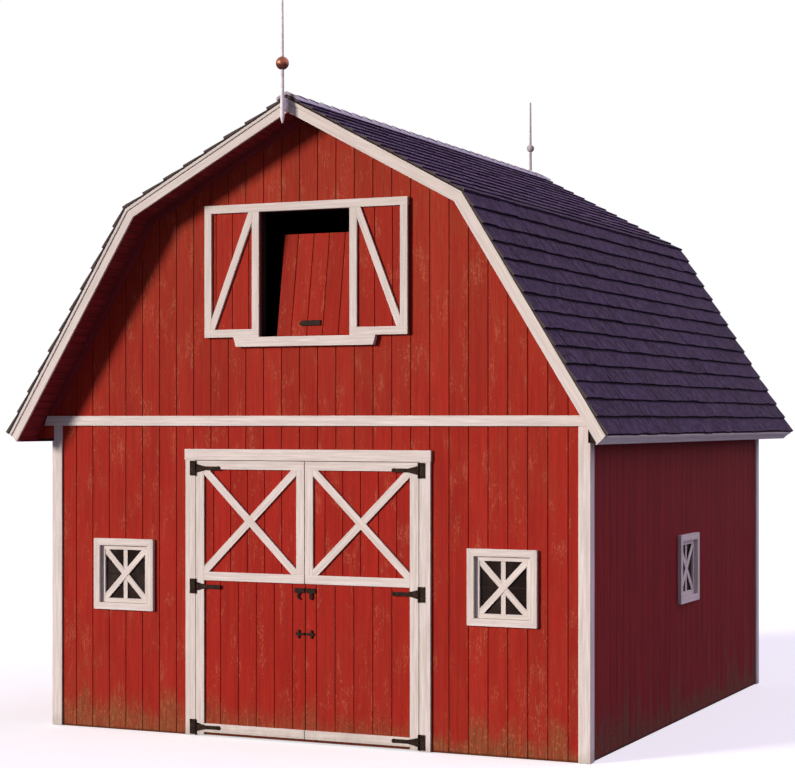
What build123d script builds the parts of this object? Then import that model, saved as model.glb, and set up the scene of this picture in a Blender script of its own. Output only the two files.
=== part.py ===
"""A small red gambrel barn: board walls, shake roof, double doors, hay door and two roof spires.

Frame: +X to the right, +Y to the back, +Z up, in millimetres. The origin is on the ground
under the middle of the whole barn's box. The double doors close the front, which faces -Y.
"""

import os
from math import cos, radians, sin, tan

from build123d import *

# ---- Walls -----------------------------------------------------------------------------------
barn_width = 5960  # outside of the wall boards, side to side
barn_length = 6360  # outside of the wall boards, front to back
wall_thickness = 110  # studs with boards on the outside
plate_height = 3034  # top of the walls under the gables, and of the eave boxes
corner_board_width = 120
corner_board_thickness = 22

# ---- Roof ------------------------------------------------------------------------------------
knee_reach = 1855  # from the middle to the knee, under the deck
upper_pitch = 28.4  # degrees
lower_pitch = 58.2
eave_overhang = 303  # from a side wall's face to the deck's lower edge
eave_rise = 52.6  # from the plates to the deck's lower edge
deck_thickness = 36  # boarding and shakes together
rafter_depth = 60  # rafters and lining under the deck
gable_soffit_thickness = 20
front_overhang = 375  # roof frame past the front wall
back_overhang = 475
deck_lip = 8  # deck past the rake boards at both ends
cap_reach = 130  # each leg of the ridge cap, down the slope
cap_thickness = 30

# ---- Rake boards, fascias and eave boxes -----------------------------------------------------
rake_depth = 118
rake_thickness = 25
strip_depth = 32  # thin strip along the rake's top edge
strip_thickness = 12  # how far the strip stands off the board
fascia_thickness = 20
fascia_lip = 10  # how far the fascias and the rakes' feet hang below the eave soffit
eave_soffit_thickness = 20

# ---- Loft and bands --------------------------------------------------------------------------
loft_floor_rise = 206  # from the plates to the top of the floor
loft_floor_thickness = 150
band_rise = 138  # from the plates to the band's lower edge
band_height = 102
band_thickness = 30
band_end_gap = 10  # from the band's slanted end to the soffit
band_end_skew = 35  # how much longer the band is along its bottom edge

# ---- Doorway and double doors ----------------------------------------------------------------
doorway_width = 2504
doorway_drop = 212  # from the plates to the top of the doorway
jamb_width = 118
jamb_thickness = 30
header_ear = 7  # header past each jamb
header_height = 113
header_thickness = 36
door_side_gap = 6  # from a leaf to its jamb
door_top_gap = 6
door_seam = 10  # between the two leaves
door_ground_gap = 12
door_board_thickness = 35
door_frame_thickness = 22
door_outer_stile = 94
door_inner_stile = 88
door_top_rail = 88
door_mid_rail_bottom = 1593
door_mid_rail = 88
door_bottom_rail_bottom = 40
door_bottom_rail = 90
door_brace = 78

# ---- Hinges and latches ----------------------------------------------------------------------
hinge_end_distance = 78  # from a leaf's top or bottom edge to the hinge's centre
hinge_middle_drop = 63  # from the middle rail's lower edge to the middle hinge's centre
hinge_plate_width = 66
hinge_plate_height = 152
iron_thickness = 8
knuckle_radius = 9
knuckle_gap = 1.5  # between neighbouring knuckles
strap_knuckle = 26  # height of each of the strap's two knuckles
pin_radius = 4
pin_clearance = 0.3
strap_length = 290
strap_root = 88  # strap's height beside its knuckles
strap_waist = 38  # strap's height where it is thinnest, behind its round tip
strap_tip = 44
strap_flare = 105  # length of the strap's flared root
strap_flare_height = 62  # strap's height halfway along its flared root
latch_drop = 68  # from the middle rail's lower edge to the middle of the latch's bar
latch_bar_size = 46
latch_bar_reach = 118
latch_leg_size = 38
latch_claw_reach = 30  # how far the left leg's foot hooks towards the seam
latch_claw_rise = 26  # from the hooked foot's tip up to its heel
latch_leg_drop = 68
latch_leg_reach = 69  # from the seam to the middle of a leg
latch_seam_gap = 12  # between the two halves of a latch
bolt_drop = 435  # from the latch's bar to the bolt
bolt_size = 22
bolt_reach = 72
bolt_end_radius = 19
bolt_lobe_radius = 12
bolt_lobe_reach = 32  # from the middle of a bolt's end to its upper and lower lobe
bolt_side_reach = 20  # from the middle of a bolt's end to its outer lobe
latch_depth = 16

# ---- Windows ---------------------------------------------------------------------------------
window_width = 718
window_height = 742
window_bottom = 1252
window_trim = 72
window_trim_thickness = 40
window_offset = 2114  # from the middle of a gable wall to a window's centre
side_window_setback = 3300  # from the front wall's face to the side windows' centre
sash_width = 44
sash_depth = 45
sash_clearance = 1  # between the sash and the window's hole
pane_thickness = 6

# ---- Hay door --------------------------------------------------------------------------------
hay_opening_width = 1014
hay_opening_height = 1263
hay_opening_rise = 830  # from the loft floor to the opening
hay_rail_height = 82
hay_leaf_width = 628
hay_frame_thickness = 25
hay_board_thickness = 25
hay_stile = 80
hay_brace = 74
hay_sill_ear = 288  # sill past each side of the opening
hay_sill_height = 98
hay_sill_thickness = 60
hay_sill_taper = 28  # how much each end is cut back towards the bottom
hatch_width = 835
hatch_length = 1055
hatch_thickness = 30
hatch_lean = 9.5  # degrees back from upright
hatch_side_gap = 12  # from the hatch to the opening's right side
hatch_setback = 60  # from the wall's face to the hatch's lower back edge
handle_width = 246
handle_point = 34  # length of the handle's pointed left end
handle_height = 56
handle_depth = 14
handle_lift = 101  # from the hatch's foot to the handle's bottom edge
handle_shift = 55  # from the hatch's middle line to the handle's, to the left

# ---- Spires ----------------------------------------------------------------------------------
spire_rise = 942  # from the deck's peak to the spires' tops
spire_foot_radius = 21
spire_top_radius = 10
spire_ball_rise = 327  # from the deck's peak to the front ball's centre
spire_ball_radius = 65
back_ball_rise = 350
back_ball_radius = 49
spire_stand_off = 105  # from the front rake boards to the front spire's axis
front_spire_drop = 258  # from the deck's peak down to the front spire's foot
front_spire_point = 60  # length of its pointed foot
spire_point_radius = 8
ball_bore_clearance = 0.3
peak_block_width = 44
back_spire_setback = 425  # from the roof frame's back end to the back spire

# ---- Places worked out from the sizes --------------------------------------------------------
half_width = barn_width / 2
deck_drip = rake_thickness + strip_thickness + deck_lip
front_reach = front_overhang + rake_thickness + spire_stand_off + spire_ball_radius
back_reach = back_overhang + deck_drip
front_face = (front_reach - back_reach - barn_length) / 2
back_face = front_face + barn_length
front_inside = front_face + wall_thickness
back_inside = back_face - wall_thickness
frame_front = front_face - front_overhang
frame_back = back_face + back_overhang
rake_front = frame_front - rake_thickness

down_upper = Vector(cos(radians(upper_pitch)), -sin(radians(upper_pitch)))
down_lower = Vector(cos(radians(lower_pitch)), -sin(radians(lower_pitch)))
out_upper = Vector(sin(radians(upper_pitch)), cos(radians(upper_pitch)))
out_lower = Vector(sin(radians(lower_pitch)), cos(radians(lower_pitch)))
eave_reach = half_width + eave_overhang
eave_height = plate_height + eave_rise
knee_height = eave_height + (eave_reach - knee_reach) * tan(radians(lower_pitch))
peak_height = knee_height + knee_reach * tan(radians(upper_pitch))
knee = Vector(knee_reach, knee_height)
eave = Vector(eave_reach, eave_height)
eave_soffit_bottom = plate_height - eave_soffit_thickness
loft_floor_top = plate_height + loft_floor_rise
band_bottom = plate_height + band_rise


def ridge_at(depth):
    """The point of the roof's section at the ridge, this far outside the deck's underside."""
    return Vector(0, peak_height + depth / cos(radians(upper_pitch)))


def knee_at(depth):
    """The same at the knee, where the two slopes meet."""
    return knee + (out_upper + out_lower) * (depth / (1 + out_upper.dot(out_lower)))


def eave_at(depth):
    """The same at the deck's square-cut lower edge."""
    return eave + out_lower * depth


def lower_slope_at(reach, depth):
    """The point of the lower slope straight above this distance from the middle."""
    height = knee_height - (reach - knee_reach) * tan(radians(lower_pitch))
    return Vector(reach, height + depth / cos(radians(lower_pitch)))


def lower_slope_reach(height, depth):
    """How far from the middle the lower slope is at this height."""
    rise = knee_height + depth / cos(radians(lower_pitch)) - height
    return knee_reach + rise / tan(radians(lower_pitch))


# The rakes' feet are cut on a slant, and the fascias' faces lie in the same slanted plane.
fascia_bottom = eave_soffit_bottom - fascia_lip
rake_foot = Vector(lower_slope_reach(fascia_bottom, -rake_depth), fascia_bottom)
up_fascia = (eave - rake_foot).normalized()
fascia_foot = rake_foot - Vector(fascia_thickness / up_fascia.Y, 0)


def fascia_back_at(height):
    """The point of the fascia's back at this height."""
    return fascia_foot + up_fascia * ((height - fascia_foot.Y) / up_fascia.Y)


def behind_fascia(depth):
    """The point of the fascia's back this far outside the lower slope's underside."""
    below = depth - (fascia_foot - knee).dot(out_lower)
    return fascia_foot + up_fascia * (below / up_fascia.dot(out_lower))


def both_sides(points):
    """Close a right-hand run of section points with its mirror image."""
    mirrored = [Vector(-point.X, point.Y) for point in reversed(points) if point.X > 0]
    return points + mirrored


def section(points, front, back):
    """A solid with this outline in X and Z, from one Y to the other."""
    with BuildPart() as solid:
        with BuildSketch(Plane.XZ.offset(-back)):
            with BuildLine():
                Polyline(*[(point.X, point.Y) for point in points], close=True)
            make_face()
        extrude(amount=back - front)
    return solid.part


def block(x_range, y_range, z_range):
    """A square-cut timber between two corners."""
    ranges = (x_range, y_range, z_range)
    centre = [(low + high) / 2 for low, high in ranges]
    with BuildPart() as solid:
        with Locations(tuple(centre)):
            Box(*[high - low for low, high in ranges])
    return solid.part


def upright(points, front, back):
    """A solid from plain (x, z) pairs, from one Y to the other."""
    return section([Vector(*point) for point in points], front, back)


def save(piece, label):
    """Name the piece and write its file."""
    piece.part.label = label
    export_step(piece.part, f"parts/{label}.step")


os.makedirs("parts", exist_ok=True)

# ---- Window places: centre, and the wall it is in --------------------------------------------
window_middle = window_bottom + window_height / 2
hole_width = window_width - 2 * window_trim
hole_height = window_height - 2 * window_trim
side_window_y = front_face + side_window_setback

# Each plane lies on the outside of a wall, with its normal pointing out of the barn.
window_planes = {
    "front_left": Plane((-window_offset, front_face, window_middle), x_dir=(1, 0, 0), z_dir=(0, -1, 0)),
    "front_right": Plane((window_offset, front_face, window_middle), x_dir=(1, 0, 0), z_dir=(0, -1, 0)),
    "back_left": Plane((-window_offset, back_face, window_middle), x_dir=(-1, 0, 0), z_dir=(0, 1, 0)),
    "back_right": Plane((window_offset, back_face, window_middle), x_dir=(-1, 0, 0), z_dir=(0, 1, 0)),
    "left": Plane((-half_width, side_window_y, window_middle), x_dir=(0, -1, 0), z_dir=(-1, 0, 0)),
    "right": Plane((half_width, side_window_y, window_middle), x_dir=(0, 1, 0), z_dir=(1, 0, 0)),
}

# ---- Front and back walls --------------------------------------------------------------------
doorway_side = doorway_width / 2
doorway_height = plate_height - doorway_drop

with BuildPart() as front_wall_left:
    add(block((-half_width, -doorway_side), (front_face, front_inside), (0, plate_height)))
    with BuildSketch(window_planes["front_left"]):
        Rectangle(hole_width, hole_height)
    extrude(amount=-wall_thickness, mode=Mode.SUBTRACT)
save(front_wall_left, "front_wall_left")

with BuildPart() as front_wall_right:
    add(block((doorway_side, half_width), (front_face, front_inside), (0, plate_height)))
    with BuildSketch(window_planes["front_right"]):
        Rectangle(hole_width, hole_height)
    extrude(amount=-wall_thickness, mode=Mode.SUBTRACT)
save(front_wall_right, "front_wall_right")

with BuildPart() as front_wall_over_door:
    add(block((-doorway_side, doorway_side), (front_face, front_inside), (doorway_height, plate_height)))
save(front_wall_over_door, "front_wall_over_door")

with BuildPart() as back_wall:
    add(block((-half_width, half_width), (back_inside, back_face), (0, plate_height)))
    for place in ("back_left", "back_right"):
        with BuildSketch(window_planes[place]):
            Rectangle(hole_width, hole_height)
        extrude(amount=-wall_thickness, mode=Mode.SUBTRACT)
save(back_wall, "back_wall")

# ---- Gables, from the plate up to the rafters ------------------------------------------------
gable_outline = both_sides(
    [
        ridge_at(-rafter_depth),
        knee_at(-rafter_depth),
        behind_fascia(-rafter_depth),
        fascia_back_at(plate_height),
    ]
)
hay_side = hay_opening_width / 2
hay_opening_bottom = loft_floor_top + hay_opening_rise
hay_opening_top = hay_opening_bottom + hay_opening_height

with BuildPart() as front_gable:
    add(section(gable_outline, front_face, front_inside))
    add(
        block(
            (-hay_side, hay_side),
            (front_face, front_inside),
            (hay_opening_bottom, hay_opening_top),
        ),
        mode=Mode.SUBTRACT,
    )
save(front_gable, "front_gable")

with BuildPart() as back_gable:
    add(section(gable_outline, back_inside, back_face))
save(back_gable, "back_gable")

# ---- Side walls, cut to the slope at the top -------------------------------------------------
for side, label in ((-1, "left_wall"), (1, "right_wall")):
    outline = [
        Vector(side * half_width, 0),
        Vector(side * half_width, lower_slope_at(half_width, -rafter_depth).Y),
        Vector(
            side * (half_width - wall_thickness),
            lower_slope_at(half_width - wall_thickness, -rafter_depth).Y,
        ),
        Vector(side * (half_width - wall_thickness), 0),
    ]
    with BuildPart() as side_wall:
        add(section(outline, front_inside, back_inside))
        with BuildSketch(window_planes["left" if side < 0 else "right"]):
            Rectangle(hole_width, hole_height)
        extrude(amount=-wall_thickness, mode=Mode.SUBTRACT)
    save(side_wall, label)

with BuildPart() as loft_floor:
    add(
        block(
            (-(half_width - wall_thickness), half_width - wall_thickness),
            (front_inside, back_inside),
            (loft_floor_top - loft_floor_thickness, loft_floor_top),
        )
    )
save(loft_floor, "loft_floor")

# ---- Roof slopes: a deck with shakes over rafters and lining ---------------------------------
upper_deck = [ridge_at(deck_thickness), knee_at(deck_thickness), knee_at(0), ridge_at(0)]
upper_rafters = [ridge_at(0), knee_at(0), knee_at(-rafter_depth), ridge_at(-rafter_depth)]
lower_deck = [knee_at(deck_thickness), eave_at(deck_thickness), eave_at(0), knee_at(0)]
lower_rafters = [
    knee_at(0),
    behind_fascia(0),
    behind_fascia(-rafter_depth),
    knee_at(-rafter_depth),
]
for deck, rafters, height in (
    (upper_deck, upper_rafters, "upper"),
    (lower_deck, lower_rafters, "lower"),
):
    with BuildPart() as right_slope:
        add(section(deck, frame_front - deck_drip, frame_back + deck_drip))
        add(section(rafters, frame_front, frame_back))
    save(right_slope, f"roof_{height}_right")
    with BuildPart() as left_slope:
        add(mirror(right_slope.part, about=Plane.YZ, mode=Mode.PRIVATE))
    save(left_slope, f"roof_{height}_left")

cap_half = [
    ridge_at(deck_thickness + cap_thickness),
    ridge_at(deck_thickness + cap_thickness) + down_upper * cap_reach,
    ridge_at(deck_thickness) + down_upper * cap_reach,
    ridge_at(deck_thickness),
]
with BuildPart() as ridge_cap:
    add(section(cap_half, frame_front - deck_drip, frame_back + deck_drip))
    mirror(about=Plane.YZ)
save(ridge_cap, "ridge_cap")

# ---- Rake boards: a board with a thin strip along its top edge -------------------------------
rake_outline = [
    ridge_at(0),
    knee_at(0),
    eave,
    rake_foot,
    knee_at(-rake_depth),
    ridge_at(-rake_depth),
]
strip_outline = [
    ridge_at(0),
    knee_at(0),
    eave,
    eave + (rake_foot - eave) * (strip_depth / rake_depth),
    knee_at(-strip_depth),
    ridge_at(-strip_depth),
]
for label, board_ys, strip_ys in (
    ("front", (rake_front, frame_front), (rake_front - strip_thickness, rake_front)),
    (
        "back",
        (frame_back, frame_back + rake_thickness),
        (frame_back + rake_thickness, frame_back + rake_thickness + strip_thickness),
    ),
):
    with BuildPart() as right_rake:
        add(section(rake_outline, *board_ys))
        add(section(strip_outline, *strip_ys))
    save(right_rake, f"{label}_rake_right")
    with BuildPart() as left_rake:
        add(mirror(right_rake.part, about=Plane.YZ, mode=Mode.PRIVATE))
    save(left_rake, f"{label}_rake_left")

# ---- Eaves: fascias in line with the rakes' cut feet, and flat soffits -------------------------
with BuildPart() as eave_fascias:
    add(section([behind_fascia(0), eave, rake_foot, fascia_foot], frame_front, frame_back))
    mirror(about=Plane.YZ)
save(eave_fascias, "eave_fascias")

eave_soffit_outline = [
    Vector(half_width, plate_height),
    fascia_back_at(plate_height),
    fascia_back_at(eave_soffit_bottom),
    Vector(half_width, eave_soffit_bottom),
]
with BuildPart() as eave_soffits:
    add(section(eave_soffit_outline, front_face, back_face))
    mirror(about=Plane.YZ)
save(eave_soffits, "eave_soffits")

# ---- Gable soffits: boarding under the rafters between each gable and its rake boards --------
soffit_bottom = -rafter_depth - gable_soffit_thickness
soffit_half = [
    ridge_at(-rafter_depth),
    knee_at(-rafter_depth),
    behind_fascia(-rafter_depth),
    behind_fascia(soffit_bottom),
    knee_at(soffit_bottom),
    ridge_at(soffit_bottom),
]
with BuildPart() as gable_soffits:
    add(section(soffit_half, frame_front, front_face))
    add(section(soffit_half, back_face, frame_back))
    mirror(about=Plane.YZ)
save(gable_soffits, "gable_soffits")

# ---- Corner boards: two boards that meet round each corner -----------------------------------
corner_side = half_width + corner_board_thickness
with BuildPart() as corner_boards:
    for face, outward in ((front_face, -1), (back_face, 1)):
        across = sorted((face, face + outward * corner_board_thickness))
        along = sorted((face, face - outward * (corner_board_width - corner_board_thickness)))
        inner_edge = corner_side - corner_board_width
        add(block((inner_edge, corner_side), across, (0, eave_soffit_bottom)))
        add(block((inner_edge, half_width), across, (eave_soffit_bottom, band_bottom)))
        add(block((half_width, corner_side), along, (0, eave_soffit_bottom)))
    mirror(about=Plane.YZ)
save(corner_boards, "corner_boards")

# ---- Bands across the gables at the loft floor -----------------------------------------------
band_top = band_bottom + band_height
band_top_reach = lower_slope_reach(band_top, soffit_bottom) - band_end_gap
band_outline = both_sides(
    [
        Vector(band_top_reach, band_top),
        Vector(band_top_reach + band_end_skew, band_bottom),
    ]
)
with BuildPart() as front_band:
    add(section(band_outline, front_face - band_thickness, front_face))
save(front_band, "front_band")
with BuildPart() as back_band:
    add(section(band_outline, back_face, back_face + band_thickness))
save(back_band, "back_band")

# ---- Door surround ---------------------------------------------------------------------------
header_side = doorway_side + jamb_width + header_ear
with BuildPart() as door_header:
    add(
        block(
            (-header_side, header_side),
            (front_face - header_thickness, front_face),
            (doorway_height, doorway_height + header_height),
        )
    )
save(door_header, "door_header")

jamb_front = front_face - jamb_thickness
with BuildPart() as door_jambs:
    add(
        block(
            (doorway_side, doorway_side + jamb_width),
            (jamb_front, front_face),
            (0, doorway_height),
        )
    )
    mirror(about=Plane.YZ)
save(door_jambs, "door_jambs")

# ---- Double doors: boards behind a frame of stiles, rails and crossed braces -----------------
leaf_outer = doorway_side - door_side_gap
leaf_inner = door_seam / 2
leaf_top = doorway_height - door_top_gap
frame_back_y = jamb_front + door_frame_thickness
boards_back_y = frame_back_y + door_board_thickness
mid_rail_top = door_mid_rail_bottom + door_mid_rail
panel_low = mid_rail_top
panel_high = leaf_top - door_top_rail
panel_outer = leaf_outer - door_outer_stile
panel_inner = leaf_inner + door_inner_stile


def brace(start, end, width, front, back):
    """A straight brace between two (x, z) corners, with its centre line from one to the other."""
    run = Vector(*end) - Vector(*start)
    side = Vector(-run.Y, run.X).normalized() * (width / 2)
    corners = [
        Vector(*start) + side,
        Vector(*end) + side,
        Vector(*end) - side,
        Vector(*start) - side,
    ]
    return section(corners, front, back)


for side, label in ((-1, "left"), (1, "right")):
    with BuildPart() as door_boards:
        add(
            block(
                sorted((side * leaf_inner, side * leaf_outer)),
                (frame_back_y, boards_back_y),
                (door_ground_gap, leaf_top),
            )
        )
    save(door_boards, f"{label}_door_boards")

    frame_ys = (jamb_front, frame_back_y)
    leaf_xs = sorted((side * leaf_inner, side * leaf_outer))
    with BuildPart() as door_frame:
        add(
            block(
                sorted((side * panel_outer, side * leaf_outer)),
                frame_ys,
                (door_ground_gap, leaf_top),
            )
        )
        add(
            block(
                sorted((side * leaf_inner, side * panel_inner)),
                frame_ys,
                (door_mid_rail_bottom, leaf_top),
            )
        )
        add(block(leaf_xs, frame_ys, (panel_high, leaf_top)))
        add(block(leaf_xs, frame_ys, (door_mid_rail_bottom, mid_rail_top)))
        add(
            block(
                leaf_xs,
                frame_ys,
                (door_bottom_rail_bottom, door_bottom_rail_bottom + door_bottom_rail),
            )
        )
        low_inner = (side * panel_inner, panel_low)
        high_outer = (side * panel_outer, panel_high)
        low_outer = (side * panel_outer, panel_low)
        high_inner = (side * panel_inner, panel_high)
        panel = block(
            sorted((side * panel_inner, side * panel_outer)),
            frame_ys,
            (panel_low, panel_high),
        )
        for start, end in ((low_inner, high_outer), (low_outer, high_inner)):
            add(brace(start, end, door_brace, *frame_ys) & panel)
    save(door_frame, f"{label}_door_frame")

# ---- Strap hinges: a plate on the jamb, a tapered strap on the leaf, and the pin between them 
pin_x = doorway_side - door_side_gap / 2
pin_y = jamb_front - knuckle_radius - 1
iron_edge = knuckle_radius + knuckle_gap  # from the pin to a plate's or strap's own edge
iron_ys = (jamb_front - iron_thickness, jamb_front)
plate_half = hinge_plate_height / 2
strap_half = strap_root / 2
middle_half = strap_half - strap_knuckle - knuckle_gap
hinge_heights = (
    door_ground_gap + hinge_end_distance,
    door_mid_rail_bottom - hinge_middle_drop,
    leaf_top - hinge_end_distance,
)
plate_knuckles = (
    (-plate_half, -strap_half - knuckle_gap),
    (-middle_half, middle_half),
    (strap_half + knuckle_gap, plate_half),
)
strap_knuckles = ((-strap_half, -strap_half + strap_knuckle), (strap_half - strap_knuckle, strap_half))


def knuckle(low, high, tab_end):
    """One knuckle upright on the hinge's line, with the tab that joins it to its iron."""
    with BuildPart() as barrel:
        add(block(sorted((pin_x, tab_end)), iron_ys, (low, high)))
        with Locations((pin_x, pin_y, (low + high) / 2)):
            Cylinder(knuckle_radius, high - low)
    return barrel.part


with BuildPart() as one_plate:
    add(
        block(
            (pin_x + iron_edge, pin_x + hinge_plate_width),
            iron_ys,
            (-plate_half, plate_half),
        )
    )
    for low, high in plate_knuckles:
        add(knuckle(low, high, pin_x + iron_edge))
    with Locations((pin_x, pin_y, 0)):
        Cylinder(pin_radius, hinge_plate_height)

strap_end = pin_x - strap_length + strap_tip / 2
strap_edge = pin_x - iron_edge
strap_outline = [
    (strap_edge, strap_half),
    (strap_edge - strap_flare / 2, strap_flare_height / 2),
    (strap_edge - strap_flare, strap_waist / 2),
    (strap_end, strap_waist / 2),
    (strap_end, -strap_waist / 2),
    (strap_edge - strap_flare, -strap_waist / 2),
    (strap_edge - strap_flare / 2, -strap_flare_height / 2),
    (strap_edge, -strap_half),
]
with BuildPart() as one_strap:
    add(upright(strap_outline, *iron_ys))
    with Locations(Plane((strap_end, jamb_front, 0), z_dir=(0, -1, 0))):
        Cylinder(
            strap_tip / 2,
            iron_thickness,
            align=(Align.CENTER, Align.CENTER, Align.MIN),
        )
    for low, high in strap_knuckles:
        add(knuckle(low, high, strap_edge))
    with Locations((pin_x, pin_y, 0)):
        Cylinder(pin_radius + pin_clearance, strap_root, mode=Mode.SUBTRACT)

with BuildPart() as hinge_plates:
    with Locations(*[(0, 0, height) for height in hinge_heights]):
        add(one_plate.part)
    mirror(about=Plane.YZ)
save(hinge_plates, "hinge_plates")

with BuildPart() as right_door_straps:
    with Locations(*[(0, 0, height) for height in hinge_heights]):
        add(one_strap.part)
save(right_door_straps, "right_door_straps")

with BuildPart() as left_door_straps:
    add(mirror(right_door_straps.part, about=Plane.YZ, mode=Mode.PRIVATE))
save(left_door_straps, "left_door_straps")

# ---- Latches: a hooked bar above and a thin bolt below, in two halves at the seam ------------
latch_inner = latch_seam_gap / 2
latch_bar_height = door_mid_rail_bottom - latch_drop
bolt_height = latch_bar_height - bolt_drop
latch_ys = (frame_back_y - latch_depth, frame_back_y)
bar_low = latch_bar_height - latch_bar_size / 2
bar_high = latch_bar_height + latch_bar_size / 2
with BuildPart() as latch_half:
    add(block((latch_inner, latch_bar_reach), latch_ys, (bar_low, bar_high)))
    add(
        block(
            (latch_inner, bolt_reach),
            latch_ys,
            (bolt_height - bolt_size / 2, bolt_height + bolt_size / 2),
        )
    )
    with BuildSketch(Plane.XZ.offset(-frame_back_y)):
        with Locations((bolt_reach, bolt_height)):
            Circle(bolt_end_radius)
            SlotCenterToCenter(2 * bolt_lobe_reach, 2 * bolt_lobe_radius, rotation=90)
        with Locations((bolt_reach + bolt_side_reach, bolt_height)):
            Circle(bolt_lobe_radius)
    extrude(amount=latch_depth)

leg_centres = latch_leg_drop - latch_leg_size / 2
with BuildPart() as right_door_latch:
    add(latch_half.part)
    with BuildSketch(Plane.XZ.offset(-frame_back_y)):
        with Locations((latch_leg_reach, bar_low - leg_centres / 2)):
            SlotCenterToCenter(leg_centres, latch_leg_size, rotation=90)
    extrude(amount=latch_depth)
save(right_door_latch, "right_door_latch")

leg_foot = bar_low - latch_leg_drop
leg_outside = -latch_leg_reach - latch_leg_size / 2
hooked_leg = [
    (leg_outside, bar_low),
    (leg_outside + latch_leg_size, bar_low),
    (-latch_leg_reach, bar_low - latch_leg_drop / 2),
    (-latch_leg_reach + latch_claw_reach, leg_foot),
    (-latch_leg_reach, leg_foot),
    (leg_outside, leg_foot + latch_claw_rise),
]
with BuildPart() as left_door_latch:
    add(mirror(latch_half.part, about=Plane.YZ, mode=Mode.PRIVATE))
    add(upright(hooked_leg, *latch_ys))
save(left_door_latch, "left_door_latch")

# ---- Windows: a trim on the wall, a sash in the hole and one pane in the sash ----------------
sash_outer = (hole_width - 2 * sash_clearance, hole_height - 2 * sash_clearance)
pane_size = (sash_outer[0] - 2 * sash_width, sash_outer[1] - 2 * sash_width)

with BuildPart() as window_trims:
    for plane in window_planes.values():
        with BuildSketch(plane):
            Rectangle(window_width, window_height)
            Rectangle(hole_width, hole_height, mode=Mode.SUBTRACT)
        extrude(amount=window_trim_thickness)
save(window_trims, "window_trims")

with BuildPart() as window_sashes:
    for plane in window_planes.values():
        with BuildSketch(plane):
            Rectangle(*sash_outer)
            Rectangle(*pane_size, mode=Mode.SUBTRACT)
        extrude(amount=-sash_depth)
save(window_sashes, "window_sashes")

with BuildPart() as window_panes:
    for plane in window_planes.values():
        with BuildSketch(plane.offset(-sash_depth / 2)):
            Rectangle(*pane_size)
        extrude(amount=-pane_thickness)
save(window_panes, "window_panes")

# ---- Hay door: two side leaves hung on a rail, a sill, and a hatch tipped back inside --------
hay_frame_back = front_face - hay_board_thickness
hay_frame_ys = (hay_frame_back - hay_frame_thickness, hay_frame_back)
hay_outer = hay_side + hay_leaf_width
with BuildPart() as hay_rail:
    add(
        block(
            (-hay_outer, hay_outer),
            (hay_frame_ys[0], front_face),
            (hay_opening_top, hay_opening_top + hay_rail_height),
        )
    )
save(hay_rail, "hay_rail")

with BuildPart() as hay_doors:
    add(
        block(
            (hay_side, hay_outer),
            (hay_frame_back, front_face),
            (hay_opening_bottom, hay_opening_top),
        )
    )
    mirror(about=Plane.YZ)
save(hay_doors, "hay_doors")

hay_panel_low = hay_opening_bottom + hay_stile
with BuildPart() as hay_door_frames:
    for side in (-1, 1):
        for inner in (hay_side, hay_outer - hay_stile):
            add(
                block(
                    sorted((side * inner, side * (inner + hay_stile))),
                    hay_frame_ys,
                    (hay_opening_bottom, hay_opening_top),
                )
            )
        leaf_xs = sorted((side * hay_side, side * hay_outer))
        add(block(leaf_xs, hay_frame_ys, (hay_opening_bottom, hay_panel_low)))
        panel_xs = sorted((side * (hay_side + hay_stile), side * (hay_outer - hay_stile)))
        panel = block(panel_xs, hay_frame_ys, (hay_panel_low, hay_opening_top))
        low_outer = (side * (hay_outer - hay_stile), hay_panel_low)
        high_inner = (side * (hay_side + hay_stile), hay_opening_top)
        add(brace(low_outer, high_inner, hay_brace, *hay_frame_ys) & panel)
save(hay_door_frames, "hay_door_frames")

sill_side = hay_side + hay_sill_ear
sill_bottom = hay_opening_bottom - hay_sill_height
with BuildPart() as hay_sill:
    sill_outline = both_sides(
        [
            Vector(sill_side, hay_opening_bottom),
            Vector(sill_side - hay_sill_taper, sill_bottom),
        ]
    )
    add(section(sill_outline, front_face - hay_sill_thickness, front_face))
save(hay_sill, "hay_sill")

# The hatch is drawn upright on the opening's floor, then tipped back about its lower back edge.
hatch_right = hay_side - hatch_side_gap
hatch_left = hatch_right - hatch_width
hatch_foot = front_face + hatch_setback
with BuildPart() as hatch_upright:
    add(
        block(
            (hatch_left, hatch_right),
            (hatch_foot - hatch_thickness, hatch_foot),
            (hay_opening_bottom, hay_opening_bottom + hatch_length),
        )
    )
handle_middle = (hatch_left + hatch_right) / 2 - handle_shift
handle_left = handle_middle - handle_width / 2
handle_right = handle_middle + handle_width / 2
handle_low = hay_opening_bottom + handle_lift
handle_high = handle_low + handle_height
handle_outline = [
    (handle_left, handle_low + handle_height / 3),
    (handle_left + handle_point, handle_low),
    (handle_right, handle_low),
    (handle_right, handle_high),
    (handle_left + handle_point, handle_high),
]
with BuildPart() as handle_upright:
    add(upright(handle_outline, hatch_foot - hatch_thickness - handle_depth, hatch_foot - hatch_thickness))
hatch_edge = Axis((0, hatch_foot, hay_opening_bottom), (1, 0, 0))
with BuildPart() as hay_hatch:
    add(hatch_upright.part.rotate(hatch_edge, -hatch_lean))
save(hay_hatch, "hay_hatch")
with BuildPart() as hay_handle:
    add(handle_upright.part.rotate(hatch_edge, -hatch_lean))
save(hay_handle, "hay_handle")

# ---- Spires: one before the front peak, one on the ridge -------------------------------------
ridge_top = ridge_at(deck_thickness + cap_thickness).Y
front_spire_y = rake_front - spire_stand_off
back_spire_y = frame_back - back_spire_setback
spire_top = peak_height + spire_rise
spire_ball_height = peak_height + spire_ball_rise
front_spire_bottom = peak_height - front_spire_drop
block_top = peak_height - peak_block_width / 2 * tan(radians(upper_pitch))
block_bottom = ridge_at(-rake_depth).Y
taper_rate = (spire_foot_radius - spire_top_radius) / (spire_top - block_bottom)


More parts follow.
